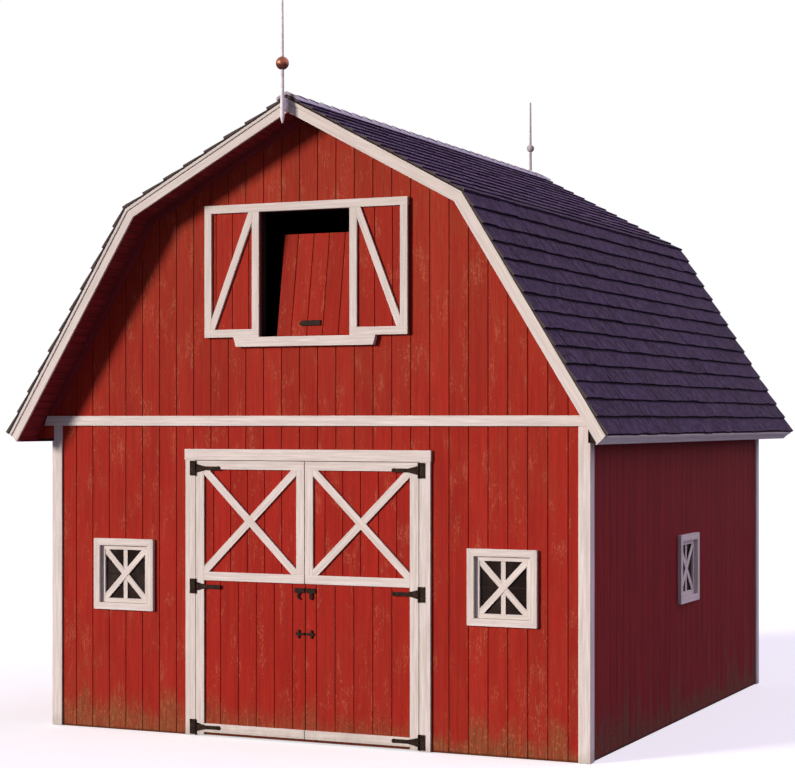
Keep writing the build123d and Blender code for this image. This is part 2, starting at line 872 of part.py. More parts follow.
def spire_radius(height):
    """The tapered rod's radius at this height."""
    return spire_foot_radius - taper_rate * (height - block_bottom)


def rod(y, low, high):
    """The rod from one height to another, at this distance from front to back."""
    length = high - low
    with BuildPart() as shaft:
        with Locations((0, y, (low + high) / 2)):
            Cone(spire_radius(low), spire_radius(high), length)
    return shaft.part


with BuildPart() as spires:
    add(rod(front_spire_y, front_spire_bottom + front_spire_point, spire_top))
    with Locations((0, front_spire_y, front_spire_bottom + front_spire_point / 2)):
        Cone(
            spire_point_radius,
            spire_radius(front_spire_bottom + front_spire_point),
            front_spire_point,
        )
    add(
        block(
            (-peak_block_width / 2, peak_block_width / 2),
            (front_spire_y, rake_front - strip_thickness),
            (block_bottom, block_top),
        )
    )
    add(rod(back_spire_y, ridge_top - cap_thickness, spire_top))
    add(ridge_cap.part, mode=Mode.SUBTRACT)
save(spires, "spires")

bore_radius = spire_radius(spire_ball_height - spire_ball_radius) + ball_bore_clearance
with BuildPart() as spire_balls:
    for y, height, radius in (
        (front_spire_y, spire_ball_height, spire_ball_radius),
        (back_spire_y, peak_height + back_ball_rise, back_ball_radius),
    ):
        with Locations((0, y, height)):
            Sphere(radius)
            Cylinder(bore_radius, 2 * radius, mode=Mode.SUBTRACT)
save(spire_balls, "spire_balls")
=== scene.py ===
# %% [markdown]
# # A red barn with a gambrel roof
# The barn is already packed as a frame of plain solids in metres, with the front wall
# looking along -Y. This lesson dresses that frame: it cuts the walls into boards, lays the
# roof with shakes, paints the trim and hangs the ironwork. Every new piece rides on one of
# the three bodies: the barn itself and its two door leaves.

import bmesh
import bpy
import math
from mathutils import Matrix, Vector


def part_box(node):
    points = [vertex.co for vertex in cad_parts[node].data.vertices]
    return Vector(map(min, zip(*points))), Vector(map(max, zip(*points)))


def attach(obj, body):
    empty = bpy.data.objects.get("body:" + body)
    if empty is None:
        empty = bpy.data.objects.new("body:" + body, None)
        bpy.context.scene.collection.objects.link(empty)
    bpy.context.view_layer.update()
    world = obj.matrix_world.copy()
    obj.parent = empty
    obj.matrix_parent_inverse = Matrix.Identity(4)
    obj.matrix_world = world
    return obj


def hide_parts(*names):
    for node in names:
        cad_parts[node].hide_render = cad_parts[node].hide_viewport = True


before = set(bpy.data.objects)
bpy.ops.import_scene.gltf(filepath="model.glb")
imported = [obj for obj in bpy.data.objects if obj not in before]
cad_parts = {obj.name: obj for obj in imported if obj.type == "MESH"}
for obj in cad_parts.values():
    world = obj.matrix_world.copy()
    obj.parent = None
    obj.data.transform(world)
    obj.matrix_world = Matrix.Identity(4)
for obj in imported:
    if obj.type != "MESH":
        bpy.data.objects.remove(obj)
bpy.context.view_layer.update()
scene = bpy.context.scene

# %% [markdown]
# ## Camera
# A long lens from far off keeps the upright lines almost parallel, as in a catalogue view.
# Tilting the camera up would make the barn lean, so it stays level and the picture is
# shifted up instead: the corners of the barn stay upright.

# %% Camera


def new_thing(name, data):
    """An object in the scene with this data."""
    thing = bpy.data.objects.new(name, data)
    scene.collection.objects.link(thing)
    return thing


camera_data = bpy.data.cameras.new("camera")
camera_data.lens = 90.8
camera_data.shift_y = 0.0468
camera = new_thing("camera", camera_data)
camera.location = (9.088, -21.069, 3.219)
level, camera_turn = math.radians(90), math.radians(24.28)
camera.rotation_euler = (level, 0, camera_turn)
scene.camera = camera
print("camera:", round(camera_data.lens, 1), "mm,", round(camera.location.length, 1), "m away")

# %% [markdown]
# ## Node helpers
# Shader trees and geometry trees are built in the same way: add a node, set its values and
# link its sockets. Doing that by hand takes four lines a node. These small helpers take
# one, so the cells that follow read like sums.

# %% Node helpers


def put(tree, kind, sockets=None, **settings):
    """Add one node. A socket takes a value, or another node's output."""
    node = tree.nodes.new(kind)
    for key, value in settings.items():
        setattr(node, key, value)
    for key, value in (sockets or {}).items():
        if isinstance(value, bpy.types.NodeSocket):
            tree.links.new(value, node.inputs[key])
        else:
            node.inputs[key].default_value = value
    return node


def calc(tree, operation, *values):
    """One Math node: the result of an operation on values or sockets."""
    kind = "ShaderNodeMath"
    return put(tree, kind, dict(enumerate(values)), operation=operation).outputs[0]


def times(tree, first, second):
    """Two values multiplied."""
    return calc(tree, "MULTIPLY", first, second)


def plus(tree, first, second):
    """Two values added."""
    return calc(tree, "ADD", first, second)


def span(tree, value, low, high, start=0.0, end=1.0):
    """A smooth step: start below low, end above high."""
    sockets = {"Value": value, "From Min": low, "From Max": high, "To Min": start, "To Max": end}
    return put(tree, "ShaderNodeMapRange", sockets, interpolation_type="SMOOTHSTEP").outputs[0]


def vectors(tree, operation, first, second):
    """One Vector Math node on two vectors."""
    sockets = {0: first, 1: second}
    return put(tree, "ShaderNodeVectorMath", sockets, operation=operation).outputs[0]


def combined(tree, x=0.0, y=0.0, z=0.0):
    """A vector from three values."""
    return put(tree, "ShaderNodeCombineXYZ", {0: x, 1: y, 2: z}).outputs[0]


def separated(tree, vector):
    """A vector's three values, as X, Y and Z."""
    return put(tree, "ShaderNodeSeparateXYZ", {0: vector}).outputs


def noise(tree, vector, stretch, detail=2.0, roughness=0.5):
    """Fractal noise from 0 to 1 on a vector that is stretched first."""
    stretched = vectors(tree, "MULTIPLY", vector, stretch)
    sockets = {"Vector": stretched, "Scale": 1.0, "Detail": detail, "Roughness": roughness}
    return put(tree, "ShaderNodeTexNoise", sockets).outputs["Fac"]


def even_noise(tree, vector, scale, detail=2.0, roughness=0.5):
    """Fractal noise from 0 to 1, of the same size along every axis."""
    sockets = {"Vector": vector, "Scale": scale, "Detail": detail, "Roughness": roughness}
    return put(tree, "ShaderNodeTexNoise", sockets).outputs["Fac"]


def new_group(name, kind, inputs, outputs):
    """A node group with named sockets, and its two end nodes."""
    tree = bpy.data.node_groups.new(name, kind)
    for label, socket_kind, value in inputs:
        socket = tree.interface.new_socket(label, in_out="INPUT", socket_type=socket_kind)
        if value is not None:
            socket.default_value = value
    for label, socket_kind in outputs:
        tree.interface.new_socket(label, in_out="OUTPUT", socket_type=socket_kind)
    return tree, tree.nodes.new("NodeGroupInput").outputs, tree.nodes.new("NodeGroupOutput").inputs


FLOAT, VECTOR, WHOLE = "NodeSocketFloat", "NodeSocketVector", "NodeSocketInt"
GEOMETRY, FINISH = "NodeSocketGeometry", "NodeSocketMaterial"
helpers = (put, calc, times, plus, span, vectors, combined, separated, noise, even_noise, new_group)
print("node helpers:", [helper.__name__ for helper in helpers])

# %% [markdown]
# ## Sun and side glow
# A low sun stands to the left of the front wall, so the front is lit and the right side of
# the barn is in shade. An open sky is brighter and more violet towards the right. It could
# be painted into the world, but a second, very wide and weak sun from behind on the right
# gives the same soft lavender and can be turned by itself.

# %% Sun and side glow


def distant_light(name, to_light, strength, colour, spread):
    """A light from far away that comes from a direction, this wide in the sky."""
    data = bpy.data.lights.new(name, "SUN")
    data.energy = strength
    data.color = colour
    data.angle = math.radians(spread)
    light = new_thing(name, data)
    light.rotation_euler = to_light.to_track_quat("Z", "Y").to_euler()


sun_bearing = math.radians(38)
sun_height = math.radians(13)
to_sun = Vector(
    (
        -math.sin(sun_bearing) * math.cos(sun_height),
        -math.cos(sun_bearing) * math.cos(sun_height),
        math.sin(sun_height),
    )
)
to_glow = Vector((0.66, 0.46, 0.60)).normalized()
distant_light("sun", to_sun, 3.95, (1.0, 0.91, 0.865), 13)
distant_light("side_glow", to_glow, 1.5, (0.87, 0.71, 1.0), 75)
print("sun stands", tuple(round(c, 2) for c in to_sun))

# %% [markdown]
# ## Sky
# The sky fills the shade with a cool lavender. The background has to be white, and a white
# sky would wash the shade out. So the world holds both: it is white only for rays that come
# from the camera, from a mirror-like surface or through glass.

# %% Sky
shade_fill = (0.17, 0.155, 0.225, 1)
world = bpy.data.worlds.new("sky")
world.use_nodes = True
world.node_tree.nodes.clear()
tree = world.node_tree
path = put(tree, "ShaderNodeLightPath").outputs
seen = calc(tree, "MAXIMUM", path["Is Camera Ray"], path["Is Glossy Ray"])
seen = calc(tree, "MAXIMUM", seen, path["Is Transmission Ray"])
fill = put(tree, "ShaderNodeBackground", {"Color": shade_fill, "Strength": 1.0})
white = put(tree, "ShaderNodeBackground", {"Color": (1, 1, 1, 1), "Strength": 1.0})
sky_mix = put(tree, "ShaderNodeMixShader", {0: seen, 1: fill.outputs[0], 2: white.outputs[0]})
put(tree, "ShaderNodeOutputWorld", {"Surface": sky_mix.outputs[0]})
scene.world = world
scene.view_settings.view_transform = "Standard"
print("sky fill:", shade_fill[:3])

# %% [markdown]
# ## Floor
# The barn stands on a pale floor that runs out to the horizon. Real floors throw their own
# colour back up under the eaves, and a white one too much of it. The floor is therefore
# pale for the camera and darker for every other ray.

# %% Floor


def blended(tree, factor, first, second, blend="MIX"):
    """One Mix node for colours."""
    settings = {"data_type": "RGBA", "blend_type": blend}
    return put(tree, "ShaderNodeMix", {0: factor, 6: first, 7: second}, **settings).outputs[2]


def new_finish(name, shine=0.04):
    """A material with its shader, which has this much shine, and the tree to build in."""
    finish = bpy.data.materials.new(name)
    finish.use_nodes = True
    shader = finish.node_tree.nodes["Principled BSDF"]
    shader.inputs["Specular IOR Level"].default_value = shine
    return finish, finish.node_tree, shader


floor_reach, floor_height = 400.0, -0.004
floor_corners = ((-1, -1), (1, -1), (1, 1), (-1, 1))
floor_mesh = bpy.data.meshes.new("floor")
floor_mesh.from_pydata(
    [(x * floor_reach, y * floor_reach, floor_height) for x, y in floor_corners], [], [(0, 1, 2, 3)]
)
floor = new_thing("floor", floor_mesh)
floor_finish, tree, shader = new_finish("pale_floor", 0.0)
shader.inputs["Roughness"].default_value = 0.9
shader.inputs["Emission Strength"].default_value = 1.0
seen = put(tree, "ShaderNodeLightPath").outputs["Is Camera Ray"]
floor_colours = {
    "Base Color": ((0.2, 0.2, 0.2, 1), (0.86, 0.87, 0.88, 1)),
    "Emission Color": ((0.034, 0.042, 0.066, 1), (0.52, 0.52, 0.52, 1)),
}
for socket, (hidden, shown) in floor_colours.items():
    tree.links.new(blended(tree, seen, hidden, shown), shader.inputs[socket])
floor_mesh.materials.append(floor_finish)
print("floor reaches", floor_reach, "m each way")

# %% [markdown]
# ## Shared effects: the board's own grain
# Sawn boards show streaks along the grain with fine fibres in them. A picture of wood could
# be wrapped round each board, but it would repeat and stretch. Noise that is stretched
# along the board never repeats. Each effect is a shader node group, so it is made once and
# placed in every material that needs it. The groups read a vector that belongs to the
# board: metres along it, across it and through it. The board carries that vector as an
# attribute, which is why the grain follows the timber, also in a brace that leans.

# %% Grain group
grain_group, given, result = new_group(
    "Board Grain",
    "ShaderNodeTree",
    [("Board", VECTOR, None), ("Streak Width", FLOAT, 0.03), ("Streak Length", FLOAT, 0.5)],
    [("Streaks", FLOAT), ("Fibres", FLOAT), ("Height", FLOAT)],
)
tree = grain_group
per_length = calc(tree, "DIVIDE", 1.0, given["Streak Length"])
per_width = calc(tree, "DIVIDE", 1.0, given["Streak Width"])
stretch = combined(tree, per_length, per_width, per_width)
stretched = vectors(tree, "MULTIPLY", given["Board"], stretch)
streaks = even_noise(tree, stretched, 1.0, 5.0, 0.62)
fibres = noise(tree, stretched, (2.5, 7.0, 7.0), 3.0, 0.7)
tree.links.new(span(tree, streaks, 0.3, 0.7), result["Streaks"])
tree.links.new(span(tree, fibres, 0.3, 0.7), result["Fibres"])
tree.links.new(plus(tree, times(tree, streaks, 0.5), times(tree, fibres, 0.5)), result["Height"])
print("grain:", [socket.name for socket in result if socket.name])

# %% [markdown]
# ## Chipped paint
# Old paint goes in patches first, where the wood works most, and chips inside the patches
# as specks and as scrapes along the grain. Chips could be placed one by one. Here three
# noises do it: the broad one says where the paint is thin and lowers the limit that the two
# fine ones have to pass, so chips gather in patches by themselves.

# %% Chipped paint group
chip_group, given, result = new_group(
    "Chipped Paint",
    "ShaderNodeTree",
    [("Board", VECTOR, None), ("Amount", FLOAT, 0.5), ("Chip Size", FLOAT, 0.02)],
    [("Chips", FLOAT), ("Thin Paint", FLOAT)],
)
tree = chip_group
size = combined(tree, given["Chip Size"], given["Chip Size"], given["Chip Size"])
chip_place = vectors(tree, "DIVIDE", given["Board"], size)
patches = noise(tree, chip_place, (0.038, 0.095, 0.095), 4.0, 0.65)
specks = noise(tree, chip_place, (0.40, 1.0, 1.0), 2.0, 0.8)
scrapes = noise(tree, chip_place, (0.07, 1.3, 1.3), 2.0, 0.7)
worn = span(tree, patches, 0.38, 0.72)
limit = calc(tree, "SUBTRACT", 0.76, times(tree, worn, given["Amount"]))
flaked = span(tree, calc(tree, "SUBTRACT", specks, limit), 0.0, 0.05)
scraped = span(tree, calc(tree, "SUBTRACT", scrapes, limit), 0.0, 0.06, 0.0, 0.7)
tree.links.new(calc(tree, "MAXIMUM", flaked, scraped), result["Chips"])
tree.links.new(worn, result["Thin Paint"])
print("chips:", [socket.name for socket in result if socket.name])

# %% [markdown]
# ## Ground damp
# Rain splashes up from the ground and stains the foot of a wall with a ragged upper edge. A
# plain fade would look airbrushed. So the height is shifted by noise before it fades, and a
# fine mottle breaks the stain up.

# %% Ground damp group
damp_group, given, result = new_group(
    "Ground Damp",
    "ShaderNodeTree",
    [("Place", VECTOR, None), ("Top", FLOAT, 0.5)],
    [("Damp", FLOAT)],
)
tree = damp_group
rise = separated(tree, given["Place"])["Z"]
ragged = noise(tree, given["Place"], (6.0, 6.0, 2.0), 5.0, 0.65)
lifted = calc(tree, "SUBTRACT", rise, times(tree, ragged, given["Top"]))
shares = calc(tree, "DIVIDE", lifted, given["Top"])
mottle = noise(tree, given["Place"], (30.0, 30.0, 14.0), 4.0, 0.7)
faded = span(tree, shares, -0.40, 0.16, 1.0, 0.0)
tree.links.new(times(tree, faded, span(tree, mottle, 0.34, 0.56, 0.5, 1.0)), result["Damp"])
print("shared effects:", [g.name for g in (grain_group, chip_group, damp_group)])

# %% [markdown]
# ## Helpers for finishes
# Every finish starts in the same way: it asks the board for its own vector and tone, or the
# body for a place on it, and sets a shared effect beside them with its own values.

# %% Finish helpers


def use_group(tree, group, sockets):
    """Place a shared effect in a material, with this material's own values."""
    return put(tree, "ShaderNodeGroup", sockets, node_tree=group).outputs


def board_place(tree):
    """The board's own vector and its tone, as the boards carry them."""
    timber = put(tree, "ShaderNodeAttribute", attribute_name="timber").outputs["Vector"]
    tone = put(tree, "ShaderNodeAttribute", attribute_name="tone").outputs["Fac"]
    return timber, tone


def object_place(tree):
    """The place on the body, in metres."""
    return put(tree, "ShaderNodeTexCoord").outputs["Object"]


def board_grain(tree, timber, streak_width, streak_length):
    """The grain effect on a board, with streaks of this size."""
    sockets = {"Board": timber, "Streak Width": streak_width, "Streak Length": streak_length}
    return use_group(tree, grain_group, sockets)


def shaded(tree, colour, factor):
    """A colour multiplied by a value or by another colour."""
    return blended(tree, 1.0, colour, factor, "MULTIPLY")


def varied(tree, value, reach, least):
    """A factor that goes from the least up by this reach, as the value goes from 0 to 1."""
    return plus(tree, times(tree, value, reach), least)


def relief(tree, shader, height, strength, distance):
    """Bump the shader's normal with a height."""
    sockets = {"Height": height, "Strength": strength, "Distance": distance}
    tree.links.new(put(tree, "ShaderNodeBump", sockets).outputs[0], shader.inputs["Normal"])


helpers = (use_group, board_place, object_place, board_grain, shaded, varied, relief)
print("finish helpers:", [helper.__name__ for helper in helpers])

# %% [markdown]
# ## Painted red boards
# The red is an old oil paint on rough sawn softwood. Each board took the weather a little
# differently, so the boards differ in tone and in how high the damp climbs. Darker streaks
# follow the grain, the sun has bleached the paint high up, small chips show pale wood, and
# an ochre stain with pale grit climbs from the ground. One flat red would look like plastic.
# The layers go on in the order in which the weather put them there.

# %% Red paint
chip_wood = (0.50, 0.16, 0.095, 1)


def red_paint(name, bright, dull, brown, stain, chip_amount, damp_top, runs=0.0, foot=0.03):
    """Old red paint, stained from the ground up, with this share of runs, and darkened at the foot
    by painted shade and grime.
    """
    finish, tree, shader = new_finish(name)
    timber, tone = board_place(tree)
    place = object_place(tree)
    above = separated(tree, place)["Z"]
    grain = board_grain(tree, timber, 0.035, 0.8)
    fine = board_grain(tree, timber, 0.012, 0.25)
    chip_values = {"Board": timber, "Amount": chip_amount, "Chip Size": 0.016}
    chips = use_group(tree, chip_group, chip_values)
    own_top = span(tree, tone, 0.0, 1.0, damp_top * 0.35, damp_top * 1.2)
    damp = use_group(tree, damp_group, {"Place": place, "Top": own_top})["Damp"]

    # Two reds in streaks, bleached to brown in drifts and high up, each board in its tone.
    paint = blended(tree, grain["Streaks"], dull, bright)
    drifts = span(tree, even_noise(tree, place, 0.9, 3.0, 0.55), 0.5, 0.75, 0.0, 0.30)
    bleached = plus(tree, drifts, span(tree, above, 2.6, 5.6, 0.0, 0.52))
    paint = blended(tree, times(tree, bleached, fine["Streaks"]), paint, brown)
    toned = varied(tree, tone, 0.16, 0.90)
    faint = varied(tree, fine["Fibres"], 0.30, 0.85)
    paint = shaded(tree, paint, times(tree, toned, faint))

    # Thin paint lets brown through, and chips show the wood.
    thin = times(tree, times(tree, chips["Thin Paint"], fine["Streaks"]), 0.34)
    paint = blended(tree, thin, paint, brown)
    paint = blended(tree, times(tree, chips["Chips"], 0.36), paint, chip_wood)

    # Runs and damp climb from the ground, with pale grit in the damp, and the foot is darkened by
    # painted shade and grime.
    run_marks = span(tree, noise(tree, place, (10.0, 10.0, 0.8), 4.0, 0.65), 0.50, 0.60)
    marked = times(tree, run_marks, span(tree, above, 0.1, 1.5, 1.0, 0.0))
    paint = blended(tree, times(tree, marked, runs), paint, stain)
    soaked = shaded(tree, stain, span(tree, fine["Streaks"], 0.2, 0.8, 0.66, 1.06))
    paint = blended(tree, times(tree, damp, 0.95), paint, soaked)
    pale_grit = tuple(min(1.0, part * 1.7) for part in stain[:3]) + (1,)
    grit = span(tree, noise(tree, place, (48.0, 48.0, 28.0), 3.0, 0.7), 0.55, 0.66)
    gritty = times(tree, grit, span(tree, damp, 0.0, 0.6, 0.0, 0.7))
    paint = blended(tree, gritty, paint, pale_grit)
    # Painted shade and grime darken the foot, up to this height.
    paint = shaded(tree, paint, span(tree, above, foot * 0.3, foot, 0.45, 1.0))
    tree.links.new(paint, shader.inputs["Base Color"])

    tree.links.new(varied(tree, chips["Chips"], 0.2, 0.66), shader.inputs["Roughness"])
    height = calc(tree, "SUBTRACT", fine["Height"], times(tree, chips["Chips"], 0.4))
    relief(tree, shader, height, 0.5, 0.002)
    return finish


ochre = (0.255, 0.078, 0.031, 1)
red = red_paint(
    "red_paint",
    bright=(0.365, 0.0225, 0.0135, 1),
    dull=(0.29, 0.0178, 0.0108, 1),
    brown=(0.27, 0.067, 0.027, 1),
    stain=ochre,
    chip_amount=0.26,
    damp_top=0.72,
)
print("siding paint:", red.name)

# %% [markdown]
# ## Three more reds
# The doors were painted apart from the walls and are handled more, and their foot is darkened
# by painted shade under the bottom rail, with grime. The right wall faces the violet sky,
# where the same red looks darker and cooler, and rain has left runs down it. The light makes
# part of that darkness, and the rest is painted shade in the wall's darker, cooler red. The
# soffits never see rain, so theirs is the cleanest. The same helper with other values makes
# all three.

# %% Other reds
# The doors' higher foot darkens the boards under the bottom rail with painted shade and grime.
door_red = red_paint(
    "door_red",
    bright=(0.36, 0.0205, 0.0125, 1),
    dull=(0.28, 0.0160, 0.0098, 1),
    brown=(0.29, 0.040, 0.019, 1),
    stain=(0.26, 0.060, 0.026, 1),
    chip_amount=0.26,
    damp_top=0.66,
    foot=0.11,
)
# The right wall's red is darker and cooler as painted shade, and its runs are rain stains.
shaded_side_red = red_paint(
    "shaded_side_red",
    bright=(0.228, 0.0150, 0.0175, 1),
    dull=(0.150, 0.0095, 0.0125, 1),
    brown=(0.11, 0.022, 0.020, 1),
    stain=(0.135, 0.044, 0.030, 1),
    chip_amount=0.12,
    damp_top=0.8,
    runs=0.75,
)
soffit_red = red_paint(
    "soffit_red",
    bright=(0.32, 0.036, 0.040, 1),
    dull=(0.21, 0.022, 0.026, 1),
    brown=(0.17, 0.04, 0.034, 1),
    stain=ochre,
    chip_amount=0.1,
    damp_top=0.01,
)
print("other reds:", door_red.name, shaded_side_red.name, soffit_red.name)

# %% [markdown]
# ## White painted trim
# The trim is a warm off-white with fine grey grain lines where dirt sits in the wood, a
# little greyer high up and browner at the ground. The grain group already knows where the
# streaks and the fibres lie, so the dirt only has to fill the gaps between them.

# %% White paint
mud = (0.30, 0.24, 0.17, 1)


def white_paint(name, clean, grey, line_strength):
    """Off-white paint with grey grain lines."""
    finish, tree, shader = new_finish(name)
    timber, tone = board_place(tree)
    place = object_place(tree)
    above = separated(tree, place)["Z"]
    grain = board_grain(tree, timber, 0.022, 0.45)
    damp = use_group(tree, damp_group, {"Place": place, "Top": 0.22})["Damp"]
    paint = clean
    for lines, strength in (("Streaks", line_strength), ("Fibres", line_strength * 0.8)):
        dirt = times(tree, calc(tree, "SUBTRACT", 1.0, grain[lines]), strength)
        paint = blended(tree, dirt, paint, grey)
    paint = shaded(tree, paint, varied(tree, tone, 0.06, 0.94))
    paint = blended(tree, span(tree, above, 3.3, 5.2, 0.0, 0.25), paint, grey)
    paint = blended(tree, times(tree, damp, 0.35), paint, mud)
    tree.links.new(paint, shader.inputs["Base Color"])
    shader.inputs["Roughness"].default_value = 0.6
    relief(tree, shader, grain["Height"], 0.35, 0.0015)
    return finish


trim_white = white_paint("trim_white", (0.83, 0.765, 0.71, 1), (0.49, 0.43, 0.37, 1), 0.58)
# A paler white for the fascias is painted light in their shade.
fascia_lit_white = white_paint("fascia_lit_white", (0.93, 0.88, 0.87, 1), (0.60, 0.54, 0.51, 1), 0.58)
print("white paints:", trim_white.name, fascia_lit_white.name)

# %% [markdown]
# ## Raw wood
# The planks inside and the backs of the boards were never painted. They are brown and
# rough. The roof deck's cut ends are raw too, and their near-black colour is painted shade.
# The same near-black wood paints shade on other cut ends, on reveals and on a glazing bar.
# One finish with two colours serves all of them.

# %% Raw wood


def raw_wood(name, light, dark):
    """Unpainted sawn planks."""
    finish, tree, shader = new_finish(name)
    timber, tone = board_place(tree)
    grain = board_grain(tree, timber, 0.02, 0.5)
    wood = blended(tree, grain["Streaks"], dark, light)
    toned = varied(tree, tone, 0.3, 0.8)
    fibre = varied(tree, grain["Fibres"], 0.2, 0.9)
    wood = shaded(tree, wood, times(tree, toned, fibre))
    tree.links.new(wood, shader.inputs["Base Color"])
    shader.inputs["Roughness"].default_value = 0.85
    relief(tree, shader, grain["Height"], 0.5, 0.002)
    return finish


inside_wood = raw_wood("inside_wood", (0.20, 0.14, 0.09, 1), (0.10, 0.065, 0.04, 1))
# The near-black wood is painted shade.
painted_shade_wood = raw_wood("painted_shade_wood", (0.040, 0.026, 0.024, 1), (0.022, 0.014, 0.014, 1))
floor_planks = raw_wood("floor_planks", (0.22, 0.15, 0.09, 1), (0.11, 0.07, 0.042, 1))
print("raw wood:", inside_wood.name, painted_shade_wood.name, floor_planks.name)

# %% [markdown]
# ## Shakes
# The roof shakes are charcoal with a purple cast. Pale hairs run up the slope where the
# grain has weathered out. The shakes near the ridge are paler, and palest at their lower
# ends, and that is painted light. Each shake is darkest where the next one laps over it,
# which is painted shade and dirt. The cut sides have a colour of their own, and the butts a
# dark one that is painted shade. The shakes carry two more attributes for this: which faces
# are cut, and how far up the shake a point lies.

# %% Shake finish


def shake_finish(name, dark, light, hairs, side, butt, ridge_painted_light):
    """Weathered shakes with pale hairs, bare cut sides, butts in painted shade, and this gain of
    painted light high up.
    """
    finish, tree, shader = new_finish(name)
    timber, tone = board_place(tree)
    cut = put(tree, "ShaderNodeAttribute", attribute_name="cut_edge").outputs["Fac"]
    lap = put(tree, "ShaderNodeAttribute", attribute_name="lap").outputs["Fac"]
    above = separated(tree, object_place(tree))["Z"]
    grain = board_grain(tree, timber, 0.025, 0.6)
    fine = board_grain(tree, timber, 0.009, 0.35)

    colour = blended(tree, grain["Streaks"], dark, light)
    toned = varied(tree, tone, 0.5, 0.75)
    fibre = varied(tree, grain["Fibres"], 0.24, 0.88)
    colour = shaded(tree, colour, times(tree, toned, fibre))
    colour = shaded(tree, colour, span(tree, fine["Streaks"], 0.0, 0.35, 0.62, 1.0))
    pale = times(tree, span(tree, fine["Streaks"], 0.58, 0.92), 0.75)
    colour = blended(tree, pale, colour, hairs)

    # Painted light: near the ridge the shakes are paler, and palest at their lower ends.
    colour = shaded(tree, colour, span(tree, above, 5.3, 5.7, 1.0, ridge_painted_light))
    lower_end = span(tree, lap, 0.03, 0.32, 1.0, 0.0)
    bleached = times(tree, times(tree, lower_end, span(tree, above, 5.35, 5.5)), 0.6)
    colour = blended(tree, bleached, colour, hairs)
    # Painted shade and dirt where the next course laps over each shake.
    colour = shaded(tree, colour, span(tree, lap, 0.86, 0.97, 1.0, 0.3))

    # The cut sides are bare wood, and the butts' dark colour is painted shade.
    cut_sides_and_shaded_butts = blended(tree, span(tree, cut, 0.6, 0.9), butt, side)
    colour = blended(tree, span(tree, cut, 0.0, 0.4), colour, cut_sides_and_shaded_butts)
    tree.links.new(colour, shader.inputs["Base Color"])
    shader.inputs["Roughness"].default_value = 0.75
    relief(tree, shader, grain["Height"], 0.6, 0.003)
    return finish


# The gain near the ridge is painted light, and the butt colour is painted shade.
shake_grey = shake_finish(
    "shake_grey",
    dark=(0.0213, 0.0103, 0.0318, 1),
    light=(0.056, 0.0305, 0.077, 1),
    hairs=(0.185, 0.135, 0.19, 1),
    side=(0.085, 0.068, 0.062, 1),
    butt=(0.024, 0.014, 0.030, 1),
    ridge_painted_light=2.4,
)
cap_grey = shake_finish(
    "cap_grey",
    dark=(0.80, 0.76, 0.83, 1),
    light=(0.93, 0.90, 0.94, 1),
    hairs=(0.94, 0.92, 0.94, 1),
    side=(0.34, 0.30, 0.33, 1),
    butt=(0.34, 0.30, 0.33, 1),
    ridge_painted_light=1.0,
)
print("roof finishes:", shake_grey.name, cap_grey.name)

# %% [markdown]
# ## Iron, copper and spire paint
# The hinges and latches are hand-forged iron under old black paint that has browned. The
# balls are copper gone dull. The rods are white paint over steel, and the back one is
# darkened by painted shade.
# Each could have a finish built for it, but all of them are two colours mixed by broad
# noise, with finer noise in the shine, so one helper serves them all.

# %% Metals
back_half = (-0.5, 0.5)


def metal_finish(name, base, worn, metallic, roughness, spot_size, shine=0.3, painted_back_shade=1.0):
    """Metal with mottled wear, darkened this much by painted shade on the barn's back half."""
    finish, tree, shader = new_finish(name, shine)
    place = object_place(tree)
    mottle = even_noise(tree, place, 1.0 / spot_size, 5.0, 0.6)
    fine = even_noise(tree, place, 6.0 / spot_size, 3.0, 0.6)
    colour = blended(tree, span(tree, mottle, 0.42, 0.68), base, worn)
    backward = separated(tree, place)["Y"]
    # Painted shade darkens the barn's back half by the given factor.
    colour = shaded(tree, colour, span(tree, backward, *back_half, 1.0, painted_back_shade))
    tree.links.new(colour, shader.inputs["Base Color"])
    shader.inputs["Metallic"].default_value = metallic
    dulled = span(tree, fine, 0.2, 0.8, roughness - 0.1, roughness + 0.15)
    tree.links.new(dulled, shader.inputs["Roughness"])
    relief(tree, shader, plus(tree, mottle, fine), 0.35, 0.002)
    return finish


iron = metal_finish(
    "iron", (0.018, 0.0098, 0.0070, 1), (0.042, 0.022, 0.015, 1), 0.0, 0.55, 0.03, shine=0.05
)
copper = metal_finish(
    "copper", (0.30, 0.10, 0.06, 1), (0.13, 0.045, 0.035, 1), 0.75, 0.4, 0.05
)
# The back rod and ball are darkened by painted shade.
spire_white = metal_finish(
    "spire_white", (0.78, 0.72, 0.72, 1), (0.55, 0.48, 0.47, 1), 0.0, 0.5, 0.05, painted_back_shade=0.56
)
print("metals:", iron.name, copper.name, spire_white.name)

# %% [markdown]
# ## Window glass
# The panes look almost black because the barn behind them is dark. Clear glass would need
# a furnished inside to look through. Dark, slightly hazy glass needs nothing behind it.

# %% Window glass
window_glass, tree, shader = new_finish("window_glass", 0.2)
haze = even_noise(tree, object_place(tree), 3.0, 3.0, 0.6)
dark_glass, dusty_glass = (0.014, 0.008, 0.0055, 1), (0.034, 0.021, 0.015, 1)
pane_colour = blended(tree, span(tree, haze, 0.4, 0.8), dark_glass, dusty_glass)
tree.links.new(pane_colour, shader.inputs["Base Color"])
tree.links.new(span(tree, haze, 0.3, 0.7, 0.08, 0.2), shader.inputs["Roughness"])
print("finishes:", len(bpy.data.materials))

# %% [markdown]
# ## From a frame solid to a piece
# A frame solid comes in as loose triangles, so its copy is merged before anything else. The
# copy then keeps its exact size while its edges are rounded a little, as a plane leaves
# them. The grain follows each board's longest side. Modelling the boards afresh could drift
# from the frame's sizes. A copy can't.

# %% Frame copies


